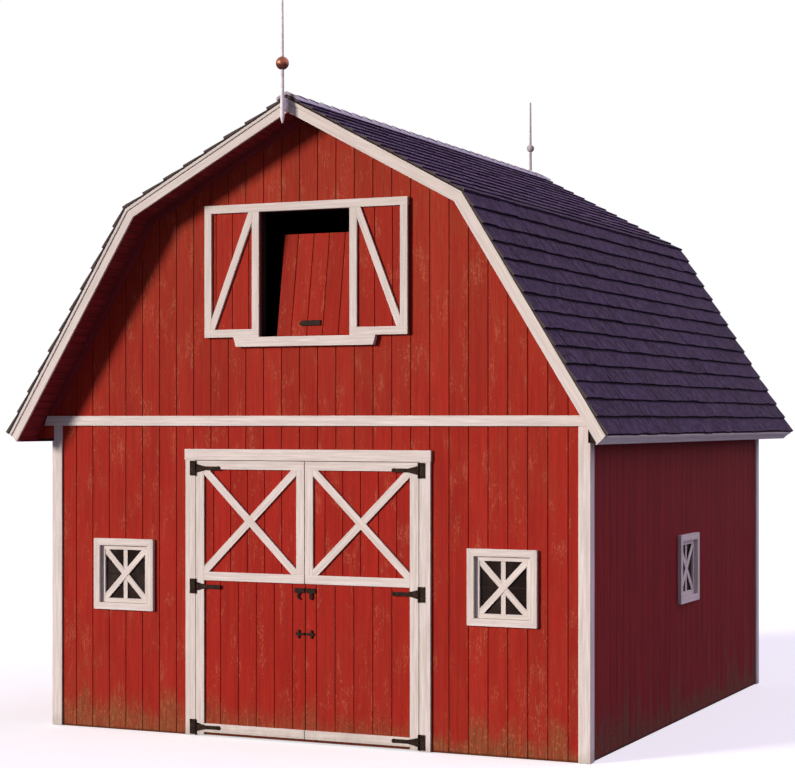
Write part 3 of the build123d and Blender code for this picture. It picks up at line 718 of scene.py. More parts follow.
def frame_copy(names):
    """One merged mesh from the named frame solids, with flat sides as single faces."""
    work = bmesh.new()
    for name in names:
        work.from_mesh(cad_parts[name].data)
    bmesh.ops.remove_doubles(work, verts=work.verts, dist=1e-5)
    flat = math.radians(0.5)
    bmesh.ops.dissolve_limit(work, angle_limit=flat, verts=work.verts, edges=work.edges)
    return work


def as_mesh(work, name):
    """A plain mesh from a worked one, which is given up."""
    mesh = bpy.data.meshes.new(name)
    work.to_mesh(mesh)
    work.free()
    return mesh


def islands(work):
    """The separate solids in a mesh, as lists of faces, in the mesh's own order."""
    left = set(work.faces)
    found = []
    for start in work.faces:
        if start not in left:
            continue
        left.remove(start)
        group, queue = [start], [start]
        while queue:
            for edge in queue.pop().edges:
                for face in edge.link_faces:
                    if face in left:
                        left.remove(face)
                        group.append(face)
                        queue.append(face)
        found.append(group)
    return found


work = frame_copy(["corner_boards"])
print("corner boards:", len(islands(work)), "solids with", len(work.faces), "flat faces")
work.free()

# %% [markdown]
# ## The board's own vector
# Every board stores two things for the finishes: where each corner lies along, across and
# through the board, and a tone of its own. Random tones could come out alike on two
# neighbours, so the tones step round by the golden ratio, which keeps them well apart. The
# tone also shifts the vector, so that no two boards show the same streaks. The boards are
# taken in the mesh's own order, so every run gives each board the same tone.

# %% Grain on a mesh
golden_step = 0.618034
tone_shift = 11.3


def long_side(points):
    """The direction of the longest stretch between two corners."""
    far = max(points, key=lambda p: (p - points[0]).length)
    other = max(points, key=lambda p: (p - far).length)
    axes = [Vector((1, 0, 0)), Vector((0, 1, 0)), Vector((0, 0, 1))]
    run = (far - other).normalized()
    best = max(axes, key=lambda axis: abs(axis.dot(run)))
    return best if abs(best.dot(run)) > 0.97 else run


def grain_layers(work):
    """The layers for the board's vector and for its tone."""
    corners, faces = work.loops.layers.float_vector, work.faces.layers.float
    timber = corners.get("timber") or corners.new("timber")
    toned = faces.get("tone") or faces.new("tone")
    return timber, toned


def grain_face(face, layers, tone, along, across, through):
    """Write one face's tone, and its corners' place on the board."""
    timber, toned = layers
    face[toned] = tone
    shift = tone * tone_shift
    for loop in face.loops:
        spot = loop.vert.co
        loop[timber] = tuple(spot.dot(way) + shift for way in (along, across, through))


def lay_grain(work, direction=None, seed=0):
    """Give every board its own vector, along, across and through it, and its own tone."""
    layers = grain_layers(work)
    for number, group in enumerate(islands(work)):
        tone = ((number + seed) * golden_step) % 1.0
        points = [v.co.copy() for face in group for v in face.verts]
        island_way = long_side(points)
        for face in group:
            along = direction(face.calc_center_median()) if direction else island_way
            across = along.cross(Vector((0, 1, 0)))
            if across.length < 0.1:
                across = Vector((1, 0, 0))
            across.normalize()
            grain_face(face, layers, tone, along, across, along.cross(across))


print("tones of the first boards:", [round(i * golden_step % 1.0, 2) for i in range(5)])

# %% [markdown]
# ## Handing over a piece
# A piece is an object that rides on a body and, where it stands for frame solids, hides
# them. The rounding of its edges is a Bevel modifier. The modifier is worked out into a plain
# mesh and removed before the piece is handed over, so nothing can change the piece
# afterwards.

# %% Finished pieces


def plain_mesh(thing):
    """The plain mesh that a thing's modifiers make."""
    bpy.context.view_layer.update()
    worked_out = thing.evaluated_get(bpy.context.evaluated_depsgraph_get())
    return bpy.data.meshes.new_from_object(worked_out)


def hand_over(piece, body, slot, nodes=None):
    """Let a piece ride on its body and, where nodes are given, stand for those solids."""
    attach(piece, body)
    if nodes is not None:
        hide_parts(*nodes)
    return piece


def finish_piece(work, name, finishes, slot, body, nodes, bevel=0.0, smooth=False):
    """Turn a worked mesh into a piece with these finishes and eased edges."""
    mesh = as_mesh(work, name)
    for finish in finishes:
        mesh.materials.append(finish)
    piece = new_thing(name, mesh)
    if bevel:
        rounding = piece.modifiers.new("eased_edges", "BEVEL")
        rounding.width = bevel
        rounding.segments = 2
        rounding.limit_method = "ANGLE"
        rounding.angle_limit = math.radians(35)
        rounding.harden_normals = False
        eased = plain_mesh(piece)
        piece.modifiers.clear()
        piece.data = eased
    if smooth:
        piece.data.shade_smooth()
    return hand_over(piece, body, slot, nodes or None)


def dress(name, nodes, finish, slot, body="barn", bevel=0.002, direction=None, seed=0):
    """A frame solid with eased edges and grain."""
    work = frame_copy(nodes)
    lay_grain(work, direction, seed)
    return finish_piece(work, name, [finish], slot, body, nodes, bevel)


helpers = (plain_mesh, hand_over, finish_piece, dress)
print("piece helpers:", [helper.__name__ for helper in helpers])

# %% [markdown]
# ## Running a geometry tree
# Boards, shakes, caps and bolts repeat, so Geometry Nodes make them. Copying them by hand
# would fix their number. A tree makes as many as it is told to. The helper puts the tree on
# a mesh, sets its named inputs, and gives back the plain mesh that comes out.

# %% Grow helpers


def grow(tree, settings, base=None):
    """Run a geometry tree on a mesh, and return the plain mesh it makes."""
    mould = new_thing("mould", base or bpy.data.meshes.new("mould"))
    modifier = mould.modifiers.new("nodes", "NODES")
    modifier.node_group = tree
    for item in tree.interface.items_tree:
        if item.in_out == "INPUT" and item.name in settings:
            modifier[item.identifier] = settings[item.name]
    grown = plain_mesh(mould)
    bpy.data.objects.remove(mould)
    return grown


def gather(meshes, name, slot, body, nodes):
    """Join plain meshes into one piece."""
    made = [new_thing(name, mesh) for mesh in meshes]
    with bpy.context.temp_override(active_object=made[0], selected_editable_objects=made):
        bpy.ops.object.join()
    return hand_over(made[0], body, slot, nodes)


def store(tree, geometry, name, value, data_type="FLOAT", domain="FACE"):
    """Keep a value on the geometry under a name."""
    kind = "GeometryNodeStoreNamedAttribute"
    sockets = {"Geometry": geometry, "Name": name, "Value": value}
    return put(tree, kind, sockets, data_type=data_type, domain=domain).outputs[0]


def stored_tone(tree):
    """The tone that the geometry keeps."""
    kind = "GeometryNodeInputNamedAttribute"
    return put(tree, kind, {"Name": "tone"}, data_type="FLOAT").outputs[0]


def chance(tree, low, high, seed):
    """A random value between two limits for every element."""
    sockets = {2: low, 3: high, "Seed": seed}
    return put(tree, "FunctionNodeRandomValue", sockets, data_type="FLOAT").outputs[1]


def moved(tree, geometry, shift):
    """The geometry, shifted."""
    sockets = {"Geometry": geometry, "Translation": shift}
    return put(tree, "GeometryNodeTransform", sockets).outputs[0]


def placed(tree, geometry, **sockets):
    """The geometry with its points at a new Position, or moved by an Offset."""
    return put(tree, "GeometryNodeSetPosition", {"Geometry": geometry, **sockets}).outputs[0]


def on_points(tree, points, instance, **sockets):
    """One instance on every point."""
    sockets = {"Points": points, "Instance": instance, **sockets}
    return put(tree, "GeometryNodeInstanceOnPoints", sockets).outputs[0]


def realized(tree, geometry):
    """Instances turned into real mesh."""
    return put(tree, "GeometryNodeRealizeInstances", {0: geometry}).outputs[0]


def coated(tree, geometry, finish, **sockets):
    """The geometry with a finish."""
    sockets = {0: geometry, "Material": finish, **sockets}
    return put(tree, "GeometryNodeSetMaterial", sockets).outputs[0]


helpers = (grow, gather, store, stored_tone, chance, moved, placed, on_points, realized, coated)
print("geometry helpers:", [helper.__name__ for helper in helpers])

# %% [markdown]
# ## Siding
# The walls are clad in upright boards with a narrow groove every eight inches. Cutting each
# board by hand round the windows and up the gable would be slow, so a row of long boards is
# made first and crossed with the solid wall: a Boolean keeps only what both share. The
# groove's floor is the wall's core, crossed in the same way. The boards break behind the
# white band. The tree works on a wall that looks along -Y.

# %% Siding tree
siding_tree, given, result = new_group(
    "Grooved Siding",
    "GeometryNodeTree",
    [
        ("Geometry", GEOMETRY, None),
        ("First Groove", FLOAT, -3.3226),
        ("Pitch", FLOAT, 0.2032),
        ("Groove Width", FLOAT, 0.0095),
        ("Groove Depth", FLOAT, 0.011),
        ("Face", FLOAT, -3.155),
        ("Boards", WHOLE, 34),
        ("Break", FLOAT, 3.2),
        ("Seed", WHOLE, 1),
        ("Siding", FINISH, None),
        ("Core", FINISH, None),
    ],
    [("Geometry", GEOMETRY)],
)
tree = siding_tree

# A row of long boards, in two heights that meet at the break.
groove_floor = plus(tree, given["Face"], given["Groove Depth"])
first_board = calc(tree, "SUBTRACT", given["First Groove"], times(tree, given["Pitch"], 0.5))
start = combined(tree, first_board, calc(tree, "SUBTRACT", groove_floor, 0.5))
line = {"Count": given["Boards"], "Start Location": start, "Offset": combined(tree, given["Pitch"])}
row = put(tree, "GeometryNodeMeshLine", line).outputs[0]
board_width = calc(tree, "SUBTRACT", given["Pitch"], given["Groove Width"])
board_size = combined(tree, board_width, 1.0, 8.0)
board = put(tree, "GeometryNodeMeshCube", {"Size": board_size}).outputs[0]
down = combined(tree, z=calc(tree, "SUBTRACT", given["Break"], 4.0))
up = combined(tree, z=calc(tree, "ADD", given["Break"], 4.001))
both = put(tree, "GeometryNodeJoinGeometry")
for shift in (down, up):
    tree.links.new(moved(tree, board, shift), both.inputs[0])
boards = realized(tree, on_points(tree, row, both.outputs[0]))

# The core is everything behind the grooves' floor.
core = put(tree, "GeometryNodeMeshCube", {"Size": (30.0, 2.0, 30.0)}).outputs[0]
core = moved(tree, core, combined(tree, y=plus(tree, groove_floor, 1.0)))

# Both are crossed with the wall. The core's outer face is painted too.
walls = put(tree, "GeometryNodeJoinGeometry")
spot = separated(tree, put(tree, "GeometryNodeInputPosition").outputs[0])
for cutter, finish in ((boards, "Siding"), (core, "Core")):
    crossed = put(tree, "GeometryNodeMeshBoolean", operation="INTERSECT", solver="EXACT")
    tree.links.new(given["Geometry"], crossed.inputs["Mesh 2"])
    tree.links.new(cutter, crossed.inputs["Mesh 2"])
    painted = coated(tree, crossed.outputs[0], given[finish])
    if finish == "Core":
        is_floor = calc(tree, "LESS_THAN", spot["Y"], plus(tree, groove_floor, 0.001))
        painted = coated(tree, painted, given["Siding"], Selection=is_floor)
    tree.links.new(painted, walls.inputs[0])

# Each board is counted from its place, and the count gives its tone and its vector.
from_first = calc(tree, "SUBTRACT", spot["X"], given["First Groove"])
number = calc(tree, "FLOOR", calc(tree, "DIVIDE", from_first, given["Pitch"]))
above_break = times(tree, calc(tree, "GREATER_THAN", spot["Z"], given["Break"]), 100.0)
by_board = {"ID": plus(tree, number, above_break), "Seed": given["Seed"]}
tone = put(tree, "FunctionNodeRandomValue", by_board, data_type="FLOAT").outputs[1]
toned = store(tree, walls.outputs[0], "tone", tone)
offset = times(tree, stored_tone(tree), 19.7)
timber = combined(tree, plus(tree, spot["Z"], offset), plus(tree, spot["X"], offset), spot["Y"])
grained = store(tree, toned, "timber", timber, "FLOAT_VECTOR", "CORNER")
tree.links.new(grained, result["Geometry"])
print("siding tree:", len(tree.nodes), "nodes")

# %% [markdown]
# ## Siding on every wall
# Four walls look four ways, and the tree knows one. Instead of four trees, each wall is
# turned to the front, cut, and turned back. The shaded right wall gets its own red, darkened
# and cooled as painted shade, and the side walls get finer grooves. The front gable's core,
# seen in the reveals of its openings, is near-black wood as painted shade. The few front
# faces that stand out past the right corner, under the eave, are that near-black wood too,
# as painted shade.

# %% Siding on every wall
turns = {"front": 0, "right": 90, "back": 180, "left": -90}
wall_sides = {
    "front": ["front_wall_left", "front_wall_right", "front_wall_over_door", "front_gable"],
    "back": ["back_wall", "back_gable"],
    "left": ["left_wall"],
    "right": ["right_wall"],
}
gable_groove, side_groove = 0.0095, 0.006
siding_meshes = []
for side, names in wall_sides.items():
    to_front = Matrix.Rotation(math.radians(-turns[side]), 4, "Z")
    for name in names:
        work = frame_copy([name])
        work.transform(to_front)
        settings = {
            "Face": min(v.co.y for v in work.verts),
            "Siding": shaded_side_red if side == "right" else red,
            # The front gable's core shows in its openings' reveals, and its near-black wood there
            # is painted shade.
            "Core": painted_shade_wood if name == "front_gable" else inside_wood,
            "Groove Width": gable_groove if side in ("front", "back") else side_groove,
            "Seed": len(side),
        }
        wall = grow(siding_tree, settings, as_mesh(work, name))
        wall.transform(to_front.inverted())
        siding_meshes.append(wall)
all_walls = sum(wall_sides.values(), [])
siding = gather(siding_meshes, "siding", "red_boards", "barn", all_walls)

# Front faces under the right eave take the near-black wood, as painted shade.
eave_inner, eave_low, eave_high = 2.99, 3.03, 3.6
shade_slot = next(i for i, slot in enumerate(siding.data.materials) if slot == painted_shade_wood)
for face in siding.data.polygons:
    under_eave = face.center.x > eave_inner and eave_low < face.center.z < eave_high
    if under_eave and face.normal.y < -0.9:
        face.material_index = shade_slot
print("siding faces:", len(siding.data.polygons))

# %% [markdown]
# ## Cutting a slab into boards
# Doors, hay doors, hatch and loft floor are boards too, so the same tree cuts them. Some
# need only a part of a slab: its front skin, or the part above a rail. The part is cut free
# with planes before it goes through the tree.

# %% Board slabs
slab_break, slab_boards = 3.5, 60
slab_groove_width, slab_groove_depth = 0.009, 0.008


def cut_back(work, place, normal):
    """Cut away what lies beyond a plane, and close the cut."""
    geometry = work.verts[:] + work.edges[:] + work.faces[:]
    plane = {"plane_co": place, "plane_no": normal}
    cut = bmesh.ops.bisect_plane(work, geom=geometry, clear_outer=True, **plane)
    edges = [e for e in cut["geom_cut"] if isinstance(e, bmesh.types.BMEdge)]
    bmesh.ops.holes_fill(work, edges=edges, sides=0)
    bmesh.ops.recalc_face_normals(work, faces=work.faces)


def boarded(node, first, pitch, seed, keep=(), turn=None, finish=door_red):
    """Cut a slab's outer face into boards. keep lists the planes that bound the slab."""
    work = frame_copy([node])
    for place, normal in keep:
        cut_back(work, place, normal)
    turn = turn or Matrix.Identity(4)
    work.transform(turn)
    settings = {
        "First Groove": first,
        "Pitch": pitch,
        "Face": min(v.co.y for v in work.verts),
        "Groove Depth": slab_groove_depth,
        "Groove Width": slab_groove_width,
        "Break": slab_break,
        "Boards": slab_boards,
        "Seed": seed,
        "Siding": finish,
        "Core": floor_planks if finish == floor_planks else inside_wood,
    }
    mesh = grow(siding_tree, settings, as_mesh(work, node))
    mesh.transform(turn.inverted())
    return mesh


x_way, y_way, z_way = Vector((1, 0, 0)), Vector((0, 1, 0)), Vector((0, 0, 1))
print("boards no wider than a slab's", slab_boards, "pitches")

# %% [markdown]
# ## Door leaves
# A door leaf shows boards on both sides: its slab is split into a painted front skin and a
# bare back skin, and the front is split again behind the middle rail, because the boards
# above it are narrower. Each row starts a few boards before the leaf, at the groove that
# the leaf's own boards keep to.

# %% Door leaves
rail_middle = Vector((0, 0, 1.637))
low_pitch, high_pitch, back_pitch = 0.2065, 0.1955, 0.2032
about = Matrix.Rotation(math.pi, 4, "Z")
door_boards = {}
for side, low_groove, high_groove in (("left", -0.97, -0.854), ("right", 0.124, 0.219)):
    node = f"{side}_door_boards"
    low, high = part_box(node)
    middle = (low + high) / 2
    front_low = ((middle, y_way), (rail_middle, z_way))
    front_high = ((middle, y_way), (rail_middle, -z_way))
    skins = [
        boarded(node, low_groove - low_pitch * 2, low_pitch, 5, front_low),
        boarded(node, high_groove - high_pitch * 3, high_pitch, 8, front_high),
        boarded(node, -1.6, back_pitch, 9, ((middle, -y_way),), about, inside_wood),
    ]
    leaf = f"{side}_leaf_boards"
    door_boards[side] = gather(skins, leaf, "red_boards", f"{side}_door", [node])
print("leaf faces:", [len(leaf.data.polygons) for leaf in door_boards.values()])

# %% [markdown]
# ## Hay doors, hatch and loft floor
# The two hay doors are one frame node, so it is cut at the middle and each leaf gets its
# own boards. The hatch leans back, and boards are cut upright: it is stood up round its
# foot first and leaned back afterwards. The loft floor is a wall lying down, so it is
# turned up, cut on both sides, and laid down again.

# %% Hay doors, hatch and loft floor
seam = Vector((0, 0, 0))
left_pitch, right_pitch, hatch_pitch, plank_pitch = 0.189, 0.194, 0.176, 0.165
hay_leaves = [
    boarded("hay_doors", -0.823 - left_pitch * 3, left_pitch, 11, ((seam, x_way),)),
    boarded("hay_doors", 0.771 - right_pitch * 3, right_pitch, 12, ((seam, -x_way),)),
]
hay_boards = gather(hay_leaves, "hay_leaf_boards", "red_boards", "barn", ["hay_doors"])

hatch_lean = math.radians(9.5)
hatch_foot = Vector((0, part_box("hay_hatch")[0].y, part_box("hay_sill")[1].z))
to_foot = Matrix.Translation(hatch_foot)
stand_up = to_foot @ Matrix.Rotation(hatch_lean, 4, "X") @ Matrix.Translation(-hatch_foot)
hatch_skin = boarded("hay_hatch", -0.184 - hatch_pitch * 2, hatch_pitch, 13, turn=stand_up)
hatch = gather([hatch_skin], "hatch_boards", "red_boards", "barn", ["hay_hatch"])

turn_up = Matrix.Rotation(math.radians(90), 4, "X")
low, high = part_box("loft_floor")
floor_middle = (low + high) / 2
floor_skins = [
    boarded("loft_floor", -2.9, plank_pitch, 3, ((floor_middle, way),), turn, floor_planks)
    for way, turn in ((-z_way, turn_up), (z_way, turn_up.inverted()))
]
loft = gather(floor_skins, "loft_floor_planks", "loft_planks", "barn", ["loft_floor"])
print("slab faces:", [len(piece.data.polygons) for piece in (hay_boards, hatch, loft)])

# %% [markdown]
# ## Trim from the frame
# Most white boards are square-cut and already right: corner boards, bands, header, jambs,
# rail and sill. Their copies get eased edges and grain, and nothing else.

# %% Straight trim
straight_trim = {
    "corner_trim": ["corner_boards"],
    "bands": ["front_band", "back_band"],
    "doorway_trim": ["door_header", "door_jambs"],
    "hay_trim": ["hay_rail", "hay_sill"],
}
for name, nodes in straight_trim.items():
    piece = dress(name, nodes, trim_white, "white_trim", bevel=0.0025, seed=len(name))
    print(name, len(piece.data.polygons))

# %% [markdown]
# ## Where the slopes run
# The rakes, soffits and friezes follow the roof: down from the peak to the knee, where the
# slope turns, and on to the eave. Their lines are read from the frame's roof decks and
# rakes, so they still fit when the frame's pitches change.

# %% Slopes


def slope_run(node):
    """The way down a roof deck's slope, from the normal of its widest face."""
    deck = frame_copy([node])
    wide = max(deck.faces, key=lambda f: f.calc_area() * (f.normal.z > 0.3))
    run = Vector((wide.normal.z, 0, -wide.normal.x))
    deck.free()
    return run.normalized()


upper_run, lower_run = slope_run("roof_upper_right"), slope_run("roof_lower_right")
rake = frame_copy(["front_rake_right"])
peak = max((v.co.copy() for v in rake.verts), key=lambda p: p.z)
eave = max((v.co.copy() for v in rake.verts), key=lambda p: p.x)
rake.free()
upper_fall, lower_fall = -upper_run.z / upper_run.x, -lower_run.z / lower_run.x
knee_x = (peak.z - eave.z - eave.x * lower_fall) / (upper_fall - lower_fall)
knee = Vector((knee_x, 0, peak.z - knee_x * upper_fall))
pitches = [round(math.degrees(math.atan(fall)), 1) for fall in (upper_fall, lower_fall)]
print("pitches:", pitches, "knee:", [round(c, 3) for c in knee])

# %% [markdown]
# ## Rakes
# A rake board turns at the roof's knee, so its grain has to turn there as well. It could be
# built as two boards. The frame's solid is already exact, so its copy is split along the
# mitre instead, and each side of the split takes its own slope's grain.

# %% Rakes


def mirrored(vector, side):
    """A vector of the right side, or its mirror on the left side."""
    return Vector((vector.x * side, 0, vector.z))


for end in ("front", "back"):
    work = bmesh.new()
    for side in (-1, 1):
        name = f"{end}_rake_" + ("left" if side < 0 else "right")
        part = frame_copy([name])
        mitre = mirrored((upper_run + lower_run).normalized(), side)
        corner = mirrored(knee, side)
        geometry = part.verts[:] + part.edges[:] + part.faces[:]
        bmesh.ops.bisect_plane(part, geom=geometry, plane_co=corner, plane_no=mitre)

        def rake_way(centre):
            below = (centre - corner).dot(mitre) > 0
            return mirrored(lower_run if below else upper_run, side)

        lay_grain(part, rake_way, seed=2 + side)
        work.from_mesh(as_mesh(part, name))
    nodes = [f"{end}_rake_left", f"{end}_rake_right"]
    piece = finish_piece(work, f"{end}_rakes", [trim_white], "white_trim", "barn", nodes, 0.0025)
    print(piece.name, len(piece.data.polygons))

# %% [markdown]
# ## Eave soffits
# A board closes the underside of each eave. Its copy is already the right shape. Its ends
# look out beside the rakes' feet as sawn wood, and their near-black colour is painted shade.

# %% Eave soffits
name, nodes = "eave_soffit_boards", ["eave_soffits"]
soffits = dress(name, nodes, soffit_red, "red_boards", bevel=0.0, seed=4)
# The faces that look along Y, the ends, take the near-black wood as painted shade.
soffits.data.materials.append(painted_shade_wood)
for face in soffits.data.polygons:
    face.material_index = 1 if abs(face.normal.y) > 0.9 else 0
print("eave soffit faces:", len(soffits.data.polygons))

# %% [markdown]
# ## Frames of separate boards
# A door frame is one solid in the frame, but a real one is stiles, rails and braces, each
# with its own grain. So it is laid board by board from outlines, at the frame's sizes. The
# same helpers lay the mitred window trims and the window bars. A Boolean could trim the
# braces to their panel, but clipping a flat outline is exact and much quicker.

# %% Board by board


def lay_board(work, outline, front, back, grain, tone):
    """A board from its outline in (x, z), between two Y, with its grain along a direction."""
    layers = grain_layers(work)
    area = sum(a[0] * b[1] - b[0] * a[1] for a, b in zip(outline, outline[1:] + outline[:1]))
    points = outline if area > 0 else outline[::-1]
    near = [work.verts.new((x, front, z)) for x, z in points]
    far = [work.verts.new((x, back, z)) for x, z in points]
    faces = [work.faces.new(near), work.faces.new(far[::-1])]
    for i in range(len(points)):
        j = (i + 1) % len(points)
        faces.append(work.faces.new((near[j], near[i], far[i], far[j])))
    along = Vector((grain[0], 0, grain[1])).normalized()
    across = Vector((-along.z, 0, along.x))
    for face in faces:
        grain_face(face, layers, tone, along, across, y_way)
    return faces


def square(xs, zs):
    """A rectangle's outline between two X and two Z."""
    (x0, x1), (z0, z1) = sorted(xs), zs
    return [(x0, z0), (x1, z0), (x1, z1), (x0, z1)]


def brace_outline(start, end, width):
    """A brace's outline from one end of its middle line to the other."""
    a, b = Vector(start), Vector(end)
    run = (b - a).normalized()
    side = Vector((-run.y, run.x)) * (width / 2)
    return [tuple(a + side), tuple(b + side), tuple(b - side), tuple(a - side)]


def clip_outline(outline, x0, x1, z0, z1):
    """Keep the part of an outline inside a rectangle."""
    for axis, limit, keep in ((0, x0, 1), (0, x1, -1), (1, z0, 1), (1, z1, -1)):
        kept = []
        for a, b in zip(outline, outline[1:] + outline[:1]):
            inside_a = (a[axis] - limit) * keep >= 0
            inside_b = (b[axis] - limit) * keep >= 0
            if inside_a:
                kept.append(a)
            if inside_a != inside_b:
                share = (limit - a[axis]) / (b[axis] - a[axis])
                kept.append((a[0] + share * (b[0] - a[0]), a[1] + share * (b[1] - a[1])))
        outline = kept
    return outline


clipped = clip_outline(brace_outline((-2, -2), (2, 2), 0.5), -1, 1, -1, 1)
print("a brace clipped to its panel has", len(clipped), "corners")

# %% [markdown]
# ## Door frames
# Each leaf has two stiles, three rails, and two braces that cross in the upper panel. One
# brace runs through. The other is cut into two pieces that butt against it, with ends
# slanted to its edges, as a carpenter would fit them. The middle rail reaches the seam,
# and the stile at the seam stands on it.

# %% Door frames
outer_stile, inner_stile, top_rail = 0.094, 0.088, 0.088
middle_rail, bottom_rail = (1.593, 1.681), (0.040, 0.130)
brace_width = 0.078
half_brace = brace_width / 2
upright_grain, level_grain = (0, 1), (1, 0)
for side, sign in (("left", -1), ("right", 1)):
    low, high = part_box(f"{side}_door_frame")
    ys = (low.y, high.y)
    outer, inner = (low.x, high.x) if sign < 0 else (high.x, low.x)
    outer_in, inner_in = outer - sign * outer_stile, inner + sign * inner_stile
    top_low = high.z - top_rail
    work = bmesh.new()
    for xs, zs, grain, tone in (
        ((outer, outer_in), (low.z, top_low), upright_grain, 0.2),
        ((inner, inner_in), (middle_rail[1], top_low), upright_grain, 0.7),
        ((outer, inner), (top_low, high.z), level_grain, 0.4),
        ((outer_in, inner), middle_rail, level_grain, 0.9),
        ((outer_in, inner), bottom_rail, level_grain, 0.6),
    ):
        lay_board(work, square(xs, zs), *ys, grain, tone)

    # The brace that runs through falls from the panel's upper left to its lower right.
    panel = (*sorted((outer_in, inner_in)), middle_rail[1], top_low)
    a, b = Vector((panel[0], panel[3])), Vector((panel[1], panel[2]))
    run = (b - a).normalized()
    whole = clip_outline(brace_outline(a - run, b + run, brace_width), *panel)
    lay_board(work, whole, *ys, tuple(run), 0.3)

    # The other is cut where it meets the first.
    c, d = Vector((panel[0], panel[2])), Vector((panel[1], panel[3]))
    cut_run = (d - c).normalized()
    cut_side = Vector((-cut_run.y, cut_run.x))
    middle = (a + b) / 2
    half_cut = half_brace / abs(run.cross(cut_run))
    for way in (-1, 1):
        tip = c - cut_run if way < 0 else d + cut_run
        side_step = cut_side * half_brace
        root = middle + cut_run * way * half_cut
        slant = run * (half_brace / abs(run.dot(cut_side)))
        if slant.dot(side_step) < 0:
            slant = -slant
        ends = (root + slant, tip + side_step, tip - side_step, root - slant)
        half = clip_outline([tuple(end) for end in ends], *panel)
        lay_board(work, half, *ys, tuple(cut_run), 0.55 + 0.2 * way)
    name, node, body = f"{side}_leaf_frame", f"{side}_door_frame", f"{side}_door"
    piece = finish_piece(work, name, [trim_white], "white_trim", body, [node], 0.002)
    print(name, len(piece.data.polygons))

# %% [markdown]
# ## Hay door frames
# The small hay doors are framed at the sides and the foot, with one brace each. Their heads
# end under the opening's own white rail, so they carry none. They are one node in the
# frame, so both go into one mesh, laid with the helpers that laid the big doors' frames.

# %% Hay door frames
low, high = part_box("hay_door_frames")
leaf_width, hay_stile, hay_brace = 0.628, 0.080, 0.074
bottom = low.z + hay_stile
work = bmesh.new()
for sign in (-1, 1):
    outer, inner = sign * high.x, sign * (high.x - leaf_width)
    outer_in, inner_in = outer - sign * hay_stile, inner + sign * hay_stile
    for xs, zs, grain, tone in (
        ((outer, outer_in), (bottom, high.z), upright_grain, 0.15),
        ((inner, inner_in), (bottom, high.z), upright_grain, 0.65),
        ((outer, inner), (low.z, bottom), level_grain, 0.35),
    ):
        lay_board(work, square(xs, zs), low.y, high.y, grain, tone)
    panel = (*sorted((outer_in, inner_in)), bottom, high.z)
    start, end = Vector((outer_in, bottom)), Vector((inner_in, high.z))
    run = (end - start).normalized()
    outline = clip_outline(brace_outline(start - run, end + run, hay_brace), *panel)
    lay_board(work, outline, low.y, high.y, tuple(run), 0.85)
nodes = ["hay_door_frames"]
piece = finish_piece(work, "hay_leaf_frames", [trim_white], "white_trim", "barn", nodes, 0.002)
print(piece.name, len(piece.data.polygons))

# %% [markdown]
# ## Gable soffits
# The gable soffits are short boards that run from the wall out to the rake board, with an
# open joint between each two. On a section of the roof, a board is a small four-sided
# outline, so the boards are steps along the slope's line, first down to the knee and then
# down to the fascia. Geometry Nodes could repeat one board, but the boards at the knee have
# to meet on a mitre, and steps along two known lines give that at once.

# %% Gable soffits


def slope_lines(depth):
    """Ridge and knee of a line this far under the deck's underside, on the right side."""
    upper_normal = Vector((-upper_run.z, 0, upper_run.x))
    lower_normal = Vector((-lower_run.z, 0, lower_run.x))
    mid = upper_normal + lower_normal
    corner = knee - mid * (depth / mid.dot(upper_normal))
    ridge_point = corner - upper_run * (corner.x / upper_run.x)
    return ridge_point, corner


def slope_board(work, side, run, start, deep, span_from, span_to, ys, tone):
    """A board along a slope between two distances down it, this thick outwards."""
    out = Vector((-run.z, 0, run.x)) * deep
    a, b = start + run * span_from, start + run * span_to
    outline = [(p.x * side, p.z) for p in (a, b, b + out, a + out)]
    return lay_board(work, outline, *ys, (run.x * side, run.z), tone)


def outward(centre):
    """Grain that runs from the wall out to the rake, or along the barn."""
    return y_way


soffit_depth, soffit_thick, board_step, joint = 0.080, 0.0195, 0.090, 0.005
soffit_ridge, soffit_knee = slope_lines(soffit_depth)
soffit_low, soffit_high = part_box("gable_soffits")
wall_front, wall_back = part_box("front_wall_left")[0].y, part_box("back_wall")[1].y
overhangs = [(soffit_low.y, wall_front), (wall_back, soffit_high.y)]
slopes = (
    (upper_run, soffit_ridge, (soffit_knee - soffit_ridge).length),
    (lower_run, soffit_knee, (soffit_knee.z - soffit_low.z) / -lower_run.z),
)
work = bmesh.new()
for ys in overhangs:
    for side in (-1, 1):
        for run, start, end in slopes:
            count = round(end / board_step)
            for i in range(count):
                upper_end = end * i / count + (joint / 2 if i else 0)
                lower_end = end * (i + 1) / count - (joint / 2 if i + 1 < count else 0)
                slope_board(work, side, run, start, soffit_thick, upper_end, lower_end, ys, 0.0)
lay_grain(work, outward, 3)
name, nodes = "gable_soffit_boards", ["gable_soffits"]
piece = finish_piece(work, name, [soffit_red], "red_boards", "barn", nodes, 0.0)
print(name, len(piece.data.polygons))

# %% [markdown]
# ## Friezes
# A frieze board covers the joint between the soffit and the siding, down to the band. It is
# the strip between two lines under the deck, so the same two lines that place the soffit
# also draw the frieze.

